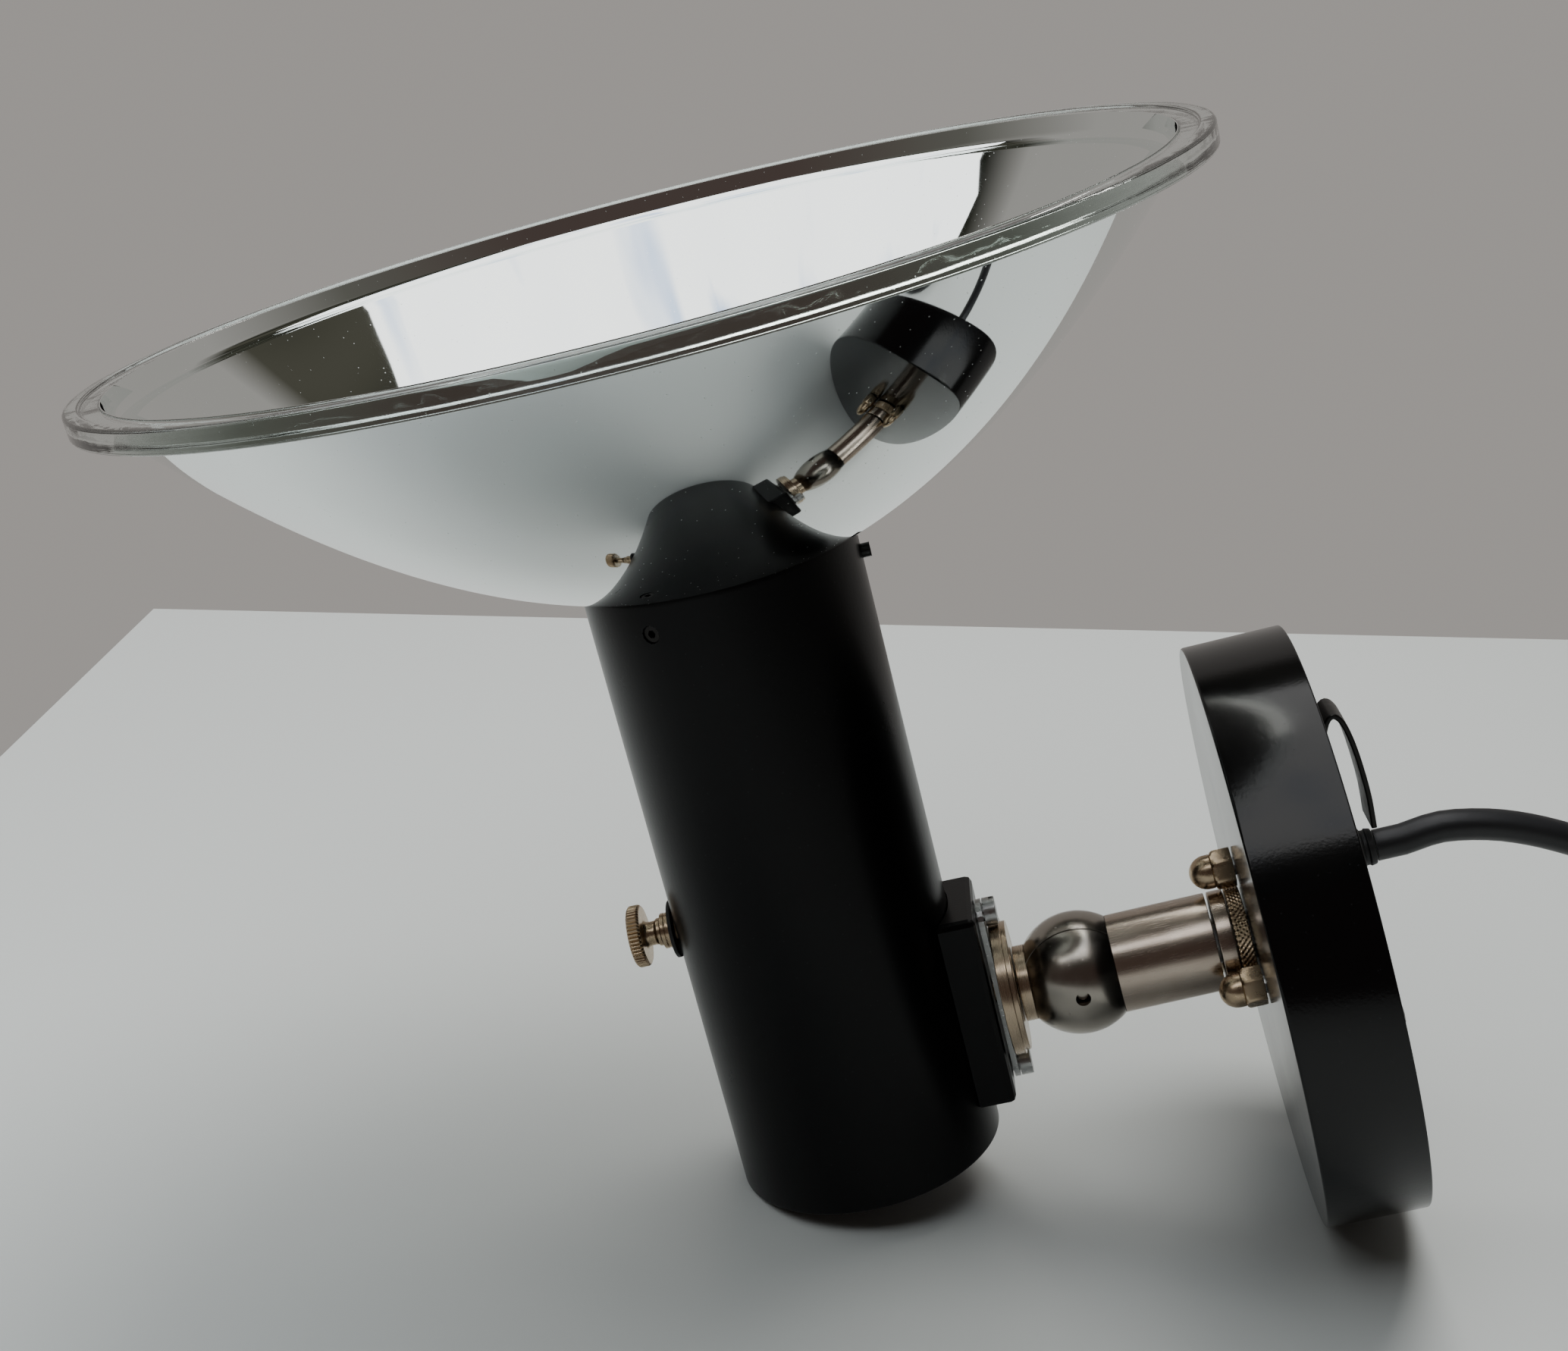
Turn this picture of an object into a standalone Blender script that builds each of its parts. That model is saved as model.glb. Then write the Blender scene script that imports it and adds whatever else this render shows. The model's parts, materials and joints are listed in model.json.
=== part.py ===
"""Wall spotlight: a mirrored glass bowl on a black tube, carried by a split ball knuckle, a short arm
and a round wall plate. The lamp lies on a level surface, on its tube's lower edge and its plate's edge.

Three frames carry the pieces. The stance is the leaning lamp: its Z is the tube's axis, its X points
to the wall plate. The arm axis starts at the ball's centre: its Z runs along the arm to the plate and
its X points down. The clamp axis points out through the clamp screw's head.
"""
import math

import bmesh
import bpy
from mathutils import Matrix, Vector

for leftover in list(bpy.data.objects):
    bpy.data.objects.remove(leftover, do_unlink=True)

# ------------------------------------------------------------------ driving dimensions, in metres
GAP = 0.0003                      # air between neighbouring pieces
EDGE = 0.0008                     # rounding of the two edges that the lamp rests on

TUBE_RADIUS = 0.030
TUBE_WALL = 0.0025
TUBE_LENGTH = 0.145

BOWL_RIM_RADIUS = 0.118
BOWL_RIM_TOP = 0.2102
BOWL_RIM_HEIGHT = 0.0048
BOWL_WALL = 0.0035
BOWL_VERTEX = 0.13913             # height where the bowl's outer curve would meet its axis
BOWL_NECK_RADIUS = 0.0247
BOWL_NECK_END = 0.1263

BALL_RADIUS = 0.01375
BALL_OFFSET = 0.055               # ball's centre from the tube's axis
BALL_HEIGHT = 0.0318
BALL_SPLIT = -0.005               # the two halves meet in a plane at this Y
KNUCKLE_BEND = math.radians(1.4)  # the arm rises by this much from square to the tube

ARM_RADIUS = 0.011
ARM_END = 0.0308                  # distances along the arm are measured from the ball's centre
COLLAR_SPAN = (0.0314, 0.0349)
LOCK_RING_SPAN = (0.0352, 0.0385)
PLATE_FRONT = 0.03885
PLATE_DEPTH = 0.022
PLATE_RADIUS = 0.065
PLATE_WALL = 0.002
PLATE_BACK = PLATE_FRONT + PLATE_DEPTH

NUT_CIRCLE = 0.0157
NUT_ANGLES = (-10.0, 110.0, 230.0)   # degrees from the top of the plate towards -Y
NUT_ACROSS_FLATS = 0.0078
CORD_HEIGHT = 0.014                  # cord entry above the plate's centre
HOOK_WIDTH = 0.011
HOOK_THICKNESS = 0.0012

CLAMP_HEIGHT = 0.062                 # clamp screw up the tube
GRUB_HEIGHT = 0.1375
GRUB_SCREWS = ((-117.0, 0.0296), (3.0, 0.0319), (123.0, 0.0296))   # azimuth, distance of outer end

CORD_RADIUS = 0.0035
COIL_CENTRE = (0.2400, -0.0440)
COIL_RADII = (0.0335, 0.0475)
COIL_HEIGHT = (0.0001, 0.0211)
ORIGIN_SHIFT = 0.0224                # brings the middle of the lamp's box to X = 0

# The stance: the circles that round the tube's lower edge and the plate's front edge lie level.
TUBE_EDGE_X = -(TUBE_RADIUS - EDGE)
PLATE_EDGE_X = (BALL_OFFSET + (PLATE_FRONT + EDGE) * math.cos(KNUCKLE_BEND)
                + (PLATE_RADIUS - EDGE) * math.sin(KNUCKLE_BEND))
PLATE_EDGE_Z = (BALL_HEIGHT + (PLATE_FRONT + EDGE) * math.sin(KNUCKLE_BEND)
                - (PLATE_RADIUS - EDGE) * math.cos(KNUCKLE_BEND))
STANCE_TILT = math.atan2(EDGE - PLATE_EDGE_Z, PLATE_EDGE_X - TUBE_EDGE_X)
STANCE_LIFT = EDGE - TUBE_EDGE_X * math.sin(STANCE_TILT) - EDGE * math.cos(STANCE_TILT)

ALONG_X = (0.0, math.radians(90), 0.0)
ALONG_Y = (math.radians(-90), 0.0, 0.0)

# ------------------------------------------------------------------ collections, frames, materials
parts = bpy.data.collections.new("wall_spotlight")
cutters = bpy.data.collections.new("cutters")
bpy.context.scene.collection.children.link(parts)
bpy.context.scene.collection.children.link(cutters)


def frame_empty(name, parent, place, turn):
    """An empty that carries pieces."""
    empty = bpy.data.objects.new(name, None)
    empty.empty_display_size = 0.02
    empty.parent = parent
    empty.location = place
    empty.rotation_euler = turn
    parts.objects.link(empty)
    return empty


stance = frame_empty("stance", None, (ORIGIN_SHIFT, 0.0, STANCE_LIFT), (0.0, -STANCE_TILT, 0.0))
arm_axis = frame_empty("arm_axis", stance, (BALL_OFFSET, 0.0, BALL_HEIGHT),
                       (0.0, math.radians(90) - KNUCKLE_BEND, 0.0))
clamp_axis = frame_empty("clamp_axis", stance, (0.0, 0.0, CLAMP_HEIGHT), (0.0, math.radians(-90), 0.0))


def make_material(name, colour, metallic, roughness):
    """A Principled material of one colour."""
    material = bpy.data.materials.new(name)
    material.use_nodes = True
    shader = material.node_tree.nodes["Principled BSDF"]
    shader.inputs["Base Color"].default_value = (*colour, 1.0)
    shader.inputs["Metallic"].default_value = metallic
    shader.inputs["Roughness"].default_value = roughness
    material.diffuse_color = (*colour, 1.0)
    return material


BLACK_PAINT = make_material("black_paint", (0.012, 0.012, 0.013), 0.0, 0.28)
MIRROR_GLASS = make_material("mirror_glass", (0.86, 0.88, 0.89), 1.0, 0.04)
NICKEL = make_material("brushed_nickel", (0.46, 0.42, 0.38), 1.0, 0.30)
DARK_STEEL = make_material("dark_steel", (0.25, 0.24, 0.23), 1.0, 0.25)
WARM_NICKEL = make_material("warm_nickel", (0.42, 0.36, 0.28), 1.0, 0.32)
BLACK_STEEL = make_material("black_steel", (0.03, 0.03, 0.03), 1.0, 0.4)
ZINC = make_material("zinc_steel", (0.55, 0.56, 0.57), 1.0, 0.35)
ALUMINIUM = make_material("aluminium", (0.70, 0.71, 0.72), 1.0, 0.35)
CERAMIC = make_material("ceramic", (0.80, 0.78, 0.72), 0.0, 0.5)
CLEAR_GLASS = make_material("clear_glass", (0.9, 0.93, 0.93), 0.0, 0.05)
BRASS = make_material("brass", (0.60, 0.42, 0.16), 1.0, 0.3)
RUBBER = make_material("black_rubber", (0.012, 0.012, 0.012), 0.0, 0.55)
BLACK_PVC = make_material("black_pvc", (0.014, 0.014, 0.015), 0.0, 0.4)
WHITE_PLASTIC = make_material("white_plastic", (0.75, 0.75, 0.73), 0.0, 0.45)


# ------------------------------------------------------------------ modelling helpers
def place_object(name, data, material, parent, place, turn):
    """Links a new object into the lamp's collection, or among the cutters if it has no material."""
    piece = bpy.data.objects.new(name, data)
    piece.parent = parent
    piece.location = place
    piece.rotation_euler = turn
    if material is None:
        cutters.objects.link(piece)
        piece.hide_render = True
        piece.display_type = "WIRE"
    else:
        data.materials.append(material)
        parts.objects.link(piece)
    return piece


def turned(name, profile, material, parent=None, place=(0, 0, 0), turn=(0, 0, 0), steps=32, ring=False):
    """A body of revolution about local Z. The profile lists radius and height, down its outer side."""
    mesh = bpy.data.meshes.new(name)
    last = len(profile) - 1
    edges = [(index, index + 1) for index in range(last)]
    if ring:
        edges.append((last, 0))
    mesh.from_pydata([(radius, 0.0, height) for radius, height in profile], edges, [])
    piece = place_object(name, mesh, material, parent, place, turn)
    screw = piece.modifiers.new("turning", "SCREW")
    screw.steps = steps
    screw.render_steps = steps
    screw.use_merge_vertices = True
    screw.merge_threshold = 0.00002
    return piece


def rod_profile(radius, low, high):
    """A plain cylinder between two heights."""
    return [(0.0, high), (radius, high), (radius, low), (0.0, low)]


def ring_profile(inner, outer, low, high):
    """A plain ring between two heights."""
    return [(outer, high), (outer, low), (inner, low), (inner, high)]


def block(name, size, material, parent=None, place=(0, 0, 0), turn=(0, 0, 0), rounding=0.0):
    """A box about its own middle, with rounded edges if a rounding is given."""
    builder = bmesh.new()
    bmesh.ops.create_cube(builder, size=1.0, matrix=Matrix.Diagonal((*size, 1.0)))
    mesh = bpy.data.meshes.new(name)
    builder.to_mesh(mesh)
    builder.free()
    piece = place_object(name, mesh, material, parent, place, turn)
    if rounding:
        bevel = piece.modifiers.new("rounding", "BEVEL")
        bevel.width = rounding
        bevel.segments = 2
    return piece


def ball(name, radius, material, parent, place, keep=0, split=0.0):
    """A sphere, or the part of it on one side of the plane Y = split: keep is 1 or -1."""
    builder = bmesh.new()
    bmesh.ops.create_uvsphere(builder, u_segments=24, v_segments=12, radius=radius)
    if keep:
        everything = list(builder.verts) + list(builder.edges) + list(builder.faces)
        bmesh.ops.bisect_plane(builder, geom=everything, plane_co=(0, split, 0),
                               plane_no=(0, -keep, 0), clear_outer=True)
        open_edges = [edge for edge in builder.edges if edge.is_boundary]
        bmesh.ops.holes_fill(builder, edges=open_edges, sides=0)
    mesh = bpy.data.meshes.new(name)
    builder.to_mesh(mesh)
    builder.free()
    return place_object(name, mesh, material, parent, place, (0, 0, 0))


def combine(piece, tool, operation="DIFFERENCE"):
    """Cuts the tool away from the piece, or joins it on."""
    boolean = piece.modifiers.new(operation.lower(), "BOOLEAN")
    boolean.operation = operation
    boolean.object = tool
    boolean.solver = "EXACT"


def drill(piece, radius, span, parent, place=(0, 0, 0), turn=(0, 0, 0), steps=16):
    """Cuts a round hole between two heights on the given axis."""
    name = f"{piece.name}_hole_{len(piece.modifiers)}"
    tool = turned(name, rod_profile(radius, *span), None, parent, place, turn, steps)
    combine(piece, tool)


def smooth_route(points, spacing):
    """Points along the Catmull-Rom curve through the given points, about one spacing apart."""
    knots = [Vector(point) for point in points]
    knots = [knots[0] * 2 - knots[1]] + knots + [knots[-1] * 2 - knots[-2]]
    route = []
    for before, start, end, after in zip(knots, knots[1:], knots[2:], knots[3:]):
        count = max(1, round((end - start).length / spacing))
        for step in range(count):
            t = step / count
            route.append(0.5 * (2 * start + (end - before) * t
                                + (2 * before - 5 * start + 4 * end - after) * t * t
                                + (3 * start - before - 3 * end + after) * t ** 3))
    route.append(knots[-2])
    return route


def wire(name, points, radius, material, parent=None, spacing=0.012):
    """A round wire of even thickness along a smooth route."""
    curve = bpy.data.curves.new(name, "CURVE")
    curve.dimensions = "3D"
    curve.bevel_depth = radius
    curve.bevel_resolution = 2
    curve.use_fill_caps = True
    route = smooth_route(points, spacing)
    spline = curve.splines.new("POLY")
    spline.points.add(len(route) - 1)
    for knot, point in zip(spline.points, route):
        knot.co = (*point, 1.0)
    return place_object(name, curve, material, parent, (0, 0, 0), (0, 0, 0))


def arm_point(above, away, along):
    """A place in the arm's frame: above the axis, away from the front (+Y), along the arm."""
    return (-above, away, along)


# ------------------------------------------------------------------ head: tube, bowl and its seat
TUBE_BORE = TUBE_RADIUS - TUBE_WALL
housing = turned("housing", [
    (TUBE_BORE, TUBE_LENGTH), (TUBE_RADIUS - 0.0004, TUBE_LENGTH), (TUBE_RADIUS, TUBE_LENGTH - 0.0004),
    (TUBE_RADIUS, EDGE), (TUBE_RADIUS - 0.3 * EDGE, 0.3 * EDGE), (TUBE_RADIUS - EDGE, 0.0),
    (TUBE_BORE, 0.0)], BLACK_PAINT, stance, steps=48, ring=True)
turned("base_cap", rod_profile(TUBE_BORE - GAP, 0.0012, 0.0040), BLACK_PAINT, stance, steps=32)


def bowl_radius(height):
    """Outer radius of the bowl: nearly a paraboloid of 46 mm focal length."""
    rise = height - BOWL_VERTEX
    return math.sqrt(0.1832 * rise + 0.0216 * rise * rise)


def bowl_slope(height):
    """How fast the outer radius grows with height."""
    return (0.1832 + 0.0432 * (height - BOWL_VERTEX)) / (2 * bowl_radius(height))


def bowl_profile():
    """Rim, outer curve, seat and neck, then back up the inside, one wall thickness in."""
    rim_bottom = BOWL_RIM_TOP - BOWL_RIM_HEIGHT
    seat = TUBE_LENGTH + GAP
    heights = [seat + 0.0003 + (rim_bottom - seat - 0.0003) * (step / 7) ** 1.6 for step in range(8)]
    outer = [(bowl_radius(height), height) for height in reversed(heights)]
    inner = []
    for height in heights:
        steep = math.hypot(1.0, bowl_slope(height))
        inner.append((bowl_radius(height) - BOWL_WALL / steep,
                      height + BOWL_WALL * bowl_slope(height) / steep))
    neck_bore = BOWL_NECK_RADIUS - 0.003
    throat = inner[0][1] - 0.002
    inner_top = inner[-1][0] + (BOWL_RIM_TOP - inner[-1][1]) * bowl_slope(BOWL_RIM_TOP)
    profile = [(BOWL_RIM_RADIUS - 0.0006, BOWL_RIM_TOP), (BOWL_RIM_RADIUS, BOWL_RIM_TOP - 0.0006),
               (BOWL_RIM_RADIUS, rim_bottom + 0.0006), (BOWL_RIM_RADIUS - 0.0006, rim_bottom)]
    profile += outer
    profile += [(TUBE_RADIUS - 0.001, seat), (BOWL_NECK_RADIUS, seat - 0.0008),
                (BOWL_NECK_RADIUS, BOWL_NECK_END), (neck_bore, BOWL_NECK_END), (neck_bore, throat)]
    profile += inner
    profile.append((inner_top, BOWL_RIM_TOP))
    return profile


turned("bowl", bowl_profile(), MIRROR_GLASS, stance, steps=56, ring=True)

SLEEVE_LIP = 0.0215
turned("neck_sleeve", [
    (TUBE_BORE - GAP, 0.1438), (TUBE_BORE - GAP, 0.1245), (SLEEVE_LIP, 0.1245), (SLEEVE_LIP, 0.1260),
    (BOWL_NECK_RADIUS + GAP, 0.1260), (BOWL_NECK_RADIUS + GAP, 0.1438)],
    RUBBER, stance, steps=32, ring=True)

GRUB_RADIUS = 0.00155
for number, (azimuth, outer_end) in enumerate(GRUB_SCREWS, start=1):
    radial = (0.0, math.radians(90), math.radians(azimuth))
    at_grub = (0.0, 0.0, GRUB_HEIGHT)
    turned(f"grub_screw_{number}", [
        (0.0, outer_end - 0.0012), (0.0008, outer_end - 0.0012), (0.0008, outer_end),
        (GRUB_RADIUS, outer_end), (GRUB_RADIUS, TUBE_BORE + 0.0001), (0.0, TUBE_BORE + 0.0001)],
        BLACK_STEEL, stance, at_grub, radial, steps=12)
    drill(housing, GRUB_RADIUS + GAP, (0.024, 0.034), stance, at_grub, radial)

# ------------------------------------------------------------------ clamp screw in the tube's side
turned("clamp_washer", ring_profile(0.0034, 0.0065, TUBE_RADIUS + GAP, 0.0312), RUBBER, clamp_axis,
       steps=32, ring=True)
turned("clamp_bush", [
    (0.0040, 0.0335), (0.0040, 0.0326), (0.0036, 0.0326), (0.0036, 0.0323), (0.0040, 0.0323),
    (0.0040, 0.0315), (0.0031, 0.0315), (0.0031, 0.0278), (0.0023, 0.0278), (0.0023, 0.0335)],
    WARM_NICKEL, clamp_axis, steps=24, ring=True)
drill(housing, 0.0034, (0.024, 0.034), clamp_axis)
turned("clamp_screw", [
    (0.0, 0.0405), (0.0066, 0.0405), (0.0070, 0.0402), (0.0070, 0.0378), (0.0066, 0.0375),
    (0.00315, 0.0375), (0.00315, 0.0338), (0.0020, 0.0338), (0.0020, 0.0274), (0.0, 0.0274)],
    WARM_NICKEL, clamp_axis, steps=32)

# ------------------------------------------------------------------ lamp carrier, holder and bulb
CARRIER_RADIUS = TUBE_BORE - 0.0004
turned("lamp_carrier", [
    (CARRIER_RADIUS - 0.002, 0.0700), (CARRIER_RADIUS, 0.0700), (CARRIER_RADIUS, 0.0540),
    (0.0060, 0.0540), (0.0060, 0.0565), (CARRIER_RADIUS - 0.002, 0.0565)],
    ALUMINIUM, stance, steps=32, ring=True)
turned("lampholder", [
    (0.0090, 0.1100), (0.0125, 0.1100), (0.0125, 0.0720), (0.0145, 0.0700), (0.0145, 0.0568),
    (0.0, 0.0568), (0.0, 0.0800), (0.0090, 0.0800)], CERAMIC, stance, steps=20, ring=True)
carrier = bpy.data.objects["lamp_carrier"]
holder = bpy.data.objects["lampholder"]
for number, side in enumerate((-1, 1), start=1):
    at_screw = (0.0, side * 0.0108, 0.0)
    turned(f"holder_screw_{number}", [
        (0.0, 0.0660), (0.0015, 0.0660), (0.0015, 0.0537), (0.0028, 0.0537), (0.0028, 0.0520),
        (0.0, 0.0520)], ZINC, stance, at_screw, steps=12)
    drill(carrier, 0.0018, (0.0500, 0.0570), stance, at_screw, steps=12)
    drill(holder, 0.0018, (0.0550, 0.0665), stance, at_screw, steps=12)
turned("bulb_base", [
    (0.0, 0.1120), (0.0060, 0.1120), (0.0068, 0.1060), (0.0068, 0.0860), (0.0030, 0.0820), (0.0, 0.0820)],
    BRASS, stance, steps=20)
turned("bulb", [
    (0.0, 0.1870), (0.0045, 0.1862), (0.0085, 0.1830), (0.0110, 0.1760), (0.0110, 0.1300),
    (0.0085, 0.1200), (0.0070, 0.1123), (0.0062, 0.1123), (0.0077, 0.1202), (0.0102, 0.1302),
    (0.0102, 0.1758), (0.0079, 0.1824), (0.0042, 0.1854), (0.0, 0.1861)], CLEAR_GLASS, stance, steps=24)

# ------------------------------------------------------------------ bracket on the tube
BLOCK_FACE = 0.0357
BRACKET_SCREW_OFFSET = 0.0189
bracket_block = block("bracket_block", (0.0120, 0.0260, 0.0455), BLACK_PAINT, stance,
                      (BLOCK_FACE - 0.0060, 0.0, BALL_HEIGHT + 0.0005), rounding=0.0014)
drill(bracket_block, TUBE_RADIUS + GAP, (0.0, 0.07), stance, steps=48)


def stadium_plate(name, length, width, thickness, holes, material, parent, place, turn):
    """A flat plate with half-round ends along its local X, with round holes given as X and radius."""
    curve = bpy.data.curves.new(name, "CURVE")
    curve.dimensions = "2D"
    curve.fill_mode = "BOTH"
    curve.extrude = thickness / 2
    half = (length - width) / 2
    outline = []
    for side in (1, -1):
        for step in range(13):
            angle = math.radians(-90 + 15 * step)
            outline.append((side * (half + width / 2 * math.cos(angle)), side * width / 2 * math.sin(angle)))
    loops = [outline]
    for centre, radius in holes:
        loops.append([(centre + radius * math.cos(math.radians(22.5 * step)),
                       radius * math.sin(math.radians(22.5 * step))) for step in range(16)])
    for loop in loops:
        spline = curve.splines.new("POLY")
        spline.points.add(len(loop) - 1)
        spline.use_cyclic_u = True
        for knot, (across, up) in zip(spline.points, loop):
            knot.co = (across, up, 0.0, 1.0)
    return place_object(name, curve, material, parent, place, turn)


BRIDGE_BACK = BLOCK_FACE + GAP
BRIDGE_FRONT = BRIDGE_BACK + 0.0012
stadium_plate("bridge_plate", 0.044, 0.009, 0.0012,
              [(-BRACKET_SCREW_OFFSET, 0.0023), (0.0, 0.0033), (BRACKET_SCREW_OFFSET, 0.0023)],
              ZINC, stance, ((BRIDGE_BACK + BRIDGE_FRONT) / 2, 0.0, BALL_HEIGHT), ALONG_X)
for name, side in (("bracket_screw_upper", 1), ("bracket_screw_lower", -1)):
    at_screw = (0.0, 0.0, BALL_HEIGHT + side * BRACKET_SCREW_OFFSET)
    head_bottom = BRIDGE_FRONT + GAP
    screw_piece = turned(name, [
        (0.0, head_bottom + 0.0027), (0.0028, head_bottom + 0.0027), (0.0032, head_bottom + 0.0023),
        (0.0032, head_bottom), (0.0020, head_bottom), (0.0020, 0.0280), (0.0, 0.0280)],
        ZINC, stance, at_screw, ALONG_X, steps=20)
    slot = block(f"{name}_slot", (0.0020, 0.0009, 0.0080), None, stance,
                 (head_bottom + 0.0027, 0.0, at_screw[2]))
    combine(screw_piece, slot)
    drill(bracket_block, 0.0023, (0.024, 0.04), stance, at_screw, ALONG_X)
    drill(housing, 0.0023, (0.024, 0.032), stance, at_screw, ALONG_X)
at_ball = (0.0, 0.0, BALL_HEIGHT)
drill(bracket_block, 0.0033, (0.024, 0.04), stance, at_ball, ALONG_X)
drill(housing, 0.0033, (0.024, 0.032), stance, at_ball, ALONG_X)

DISC_SPAN = (BRIDGE_FRONT + GAP, 0.0412)
turned("neck_disc", [
    (0.0148, DISC_SPAN[1]), (0.0154, DISC_SPAN[1] - 0.0006), (0.0154, DISC_SPAN[0] + 0.0006),
    (0.0148, DISC_SPAN[0]), (0.0033, DISC_SPAN[0]), (0.0033, DISC_SPAN[1])],
    NICKEL, stance, at_ball, ALONG_X, steps=32, ring=True)

# ------------------------------------------------------------------ split ball knuckle
ball_centre = (BALL_OFFSET, 0.0, BALL_HEIGHT)
NECK_RADIUS = 0.0085
head_half = ball("knuckle_head_half", BALL_RADIUS, DARK_STEEL, stance, ball_centre)
neck = turned("knuckle_neck_stock", [
    (0.0, 0.0500), (NECK_RADIUS, 0.0500), (NECK_RADIUS, 0.0415), (0.0030, 0.0415), (0.0030, 0.0312),
    (0.0, 0.0312)], None, stance, at_ball, ALONG_X, steps=32)
combine(head_half, neck, "UNION")
combine(head_half, ball("near_side_space", BALL_RADIUS + GAP, None, stance, ball_centre,
                        keep=-1, split=BALL_SPLIT + GAP / 2))
drill(head_half, 0.0019, (0.028, 0.046), stance, at_ball, ALONG_X, steps=12)

STEM_RADIUS = 0.0095
arm_half = ball("knuckle_arm_half", BALL_RADIUS, DARK_STEEL, arm_axis, (0, 0, 0))
stem = turned("knuckle_stem_stock", rod_profile(STEM_RADIUS, 0.0030, ARM_END - GAP), None, arm_axis, steps=32)
combine(arm_half, stem, "UNION")
combine(arm_half, ball("far_side_space", BALL_RADIUS + GAP, None, arm_axis, (0, 0, 0),
                       keep=1, split=BALL_SPLIT - GAP / 2))
NIPPLE_RADIUS = 0.005
NIPPLE_START = 0.0200
drill(arm_half, NIPPLE_RADIUS + GAP, (NIPPLE_START - GAP, 0.04), arm_axis)
for half in (head_half, arm_half):
    drill(half, 0.00165, (-0.02, 0.02), stance, ball_centre, ALONG_Y)
drill(head_half, 0.0035, (0.0097, 0.02), stance, ball_centre, ALONG_Y, steps=20)
turned("knuckle_pin", [
    (0.0, 0.0126), (0.0026, 0.0126), (0.0032, 0.0120), (0.0032, 0.0100), (0.00135, 0.0100),
    (0.00135, -0.0115), (0.0, -0.0115)], DARK_STEEL, stance, ball_centre, ALONG_Y, steps=20)

# ------------------------------------------------------------------ arm, collar and lock ring
arm_tube = turned("arm_tube", ring_profile(STEM_RADIUS + GAP, ARM_RADIUS, 0.0040, ARM_END), NICKEL,
                  arm_axis, steps=32, ring=True)
combine(arm_tube, ball("ball_seat_space", BALL_RADIUS + GAP, None, arm_axis, (0, 0, 0)))
collar_low, collar_high = COLLAR_SPAN
turned("arm_collar", ring_profile(NIPPLE_RADIUS + GAP, ARM_RADIUS, collar_low, collar_high), NICKEL,
       arm_axis, steps=32, ring=True)
lock_low, lock_high = LOCK_RING_SPAN
turned("lock_ring", [
    (0.0108, lock_high), (0.0111, lock_high - 0.0003), (0.0111, lock_low + 0.0003), (0.0108, lock_low),
    (NIPPLE_RADIUS + GAP, lock_low), (NIPPLE_RADIUS + GAP, lock_high)], WARM_NICKEL, arm_axis,
    steps=32, ring=True)
INSIDE_FRONT = PLATE_FRONT + PLATE_WALL
turned("centre_nipple", ring_profile(0.0033, NIPPLE_RADIUS, NIPPLE_START, INSIDE_FRONT + 0.0060), ZINC,
       arm_axis, steps=16, ring=True)
nipple_nut = turned("nipple_nut", rod_profile(0.0090, INSIDE_FRONT + GAP, INSIDE_FRONT + 0.0040), ZINC,
                    arm_axis, steps=6)
drill(nipple_nut, NIPPLE_RADIUS + GAP, (INSIDE_FRONT - 0.001, INSIDE_FRONT + 0.005), arm_axis)

# ------------------------------------------------------------------ wall plate and what holds it
plate = turned("wall_plate", [
    (PLATE_RADIUS, PLATE_BACK), (PLATE_RADIUS, PLATE_FRONT + EDGE),
    (PLATE_RADIUS - 0.3 * EDGE, PLATE_FRONT + 0.3 * EDGE), (PLATE_RADIUS - EDGE, PLATE_FRONT),
    (NIPPLE_RADIUS + GAP, PLATE_FRONT), (NIPPLE_RADIUS + GAP, INSIDE_FRONT),
    (PLATE_RADIUS - PLATE_WALL, INSIDE_FRONT), (PLATE_RADIUS - PLATE_WALL, PLATE_BACK)],
    BLACK_PAINT, arm_axis, steps=60, ring=True)
NUT_SEAT = PLATE_FRONT - GAP
NUT_CORNER = NUT_ACROSS_FLATS / math.sqrt(3)
STUD_RADIUS = 0.0020
for number, angle in enumerate(NUT_ANGLES, start=1):
    at_stud = arm_point(NUT_CIRCLE * math.cos(math.radians(angle)),
                        -NUT_CIRCLE * math.sin(math.radians(angle)), 0.0)
    hexagon = turned(f"acorn_nut_{number}", rod_profile(NUT_CORNER, NUT_SEAT - 0.0045, NUT_SEAT),
                     WARM_NICKEL, arm_axis, at_stud, (0.0, 0.0, math.radians(18)), steps=6)
    dome = [(0.0, NUT_SEAT - 0.0020), (0.0038, NUT_SEAT - 0.0020), (0.0038, NUT_SEAT - 0.0058)]
    for step in range(1, 5):
        lift = math.radians(22.5 * step)
        dome.append((0.0038 * math.cos(lift), NUT_SEAT - 0.0058 - 0.0040 * math.sin(lift)))
    combine(hexagon, turned(f"nut_dome_{number}", dome, None, arm_axis, at_stud, steps=16), "UNION")
    drill(hexagon, STUD_RADIUS + GAP, (NUT_SEAT - 0.0060, NUT_SEAT + 0.001), arm_axis, at_stud, steps=12)
    stud_head = INSIDE_FRONT + GAP
    turned(f"nut_stud_{number}", [
        (0.0, stud_head + 0.0022), (0.0038, stud_head + 0.0022), (0.0038, stud_head),
        (STUD_RADIUS, stud_head), (STUD_RADIUS, NUT_SEAT - 0.0057), (0.0, NUT_SEAT - 0.0057)],
        ZINC, arm_axis, at_stud, steps=12)
    drill(plate, STUD_RADIUS + GAP, (PLATE_FRONT - 0.002, INSIDE_FRONT + 0.002), arm_axis, at_stud, steps=12)

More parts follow.
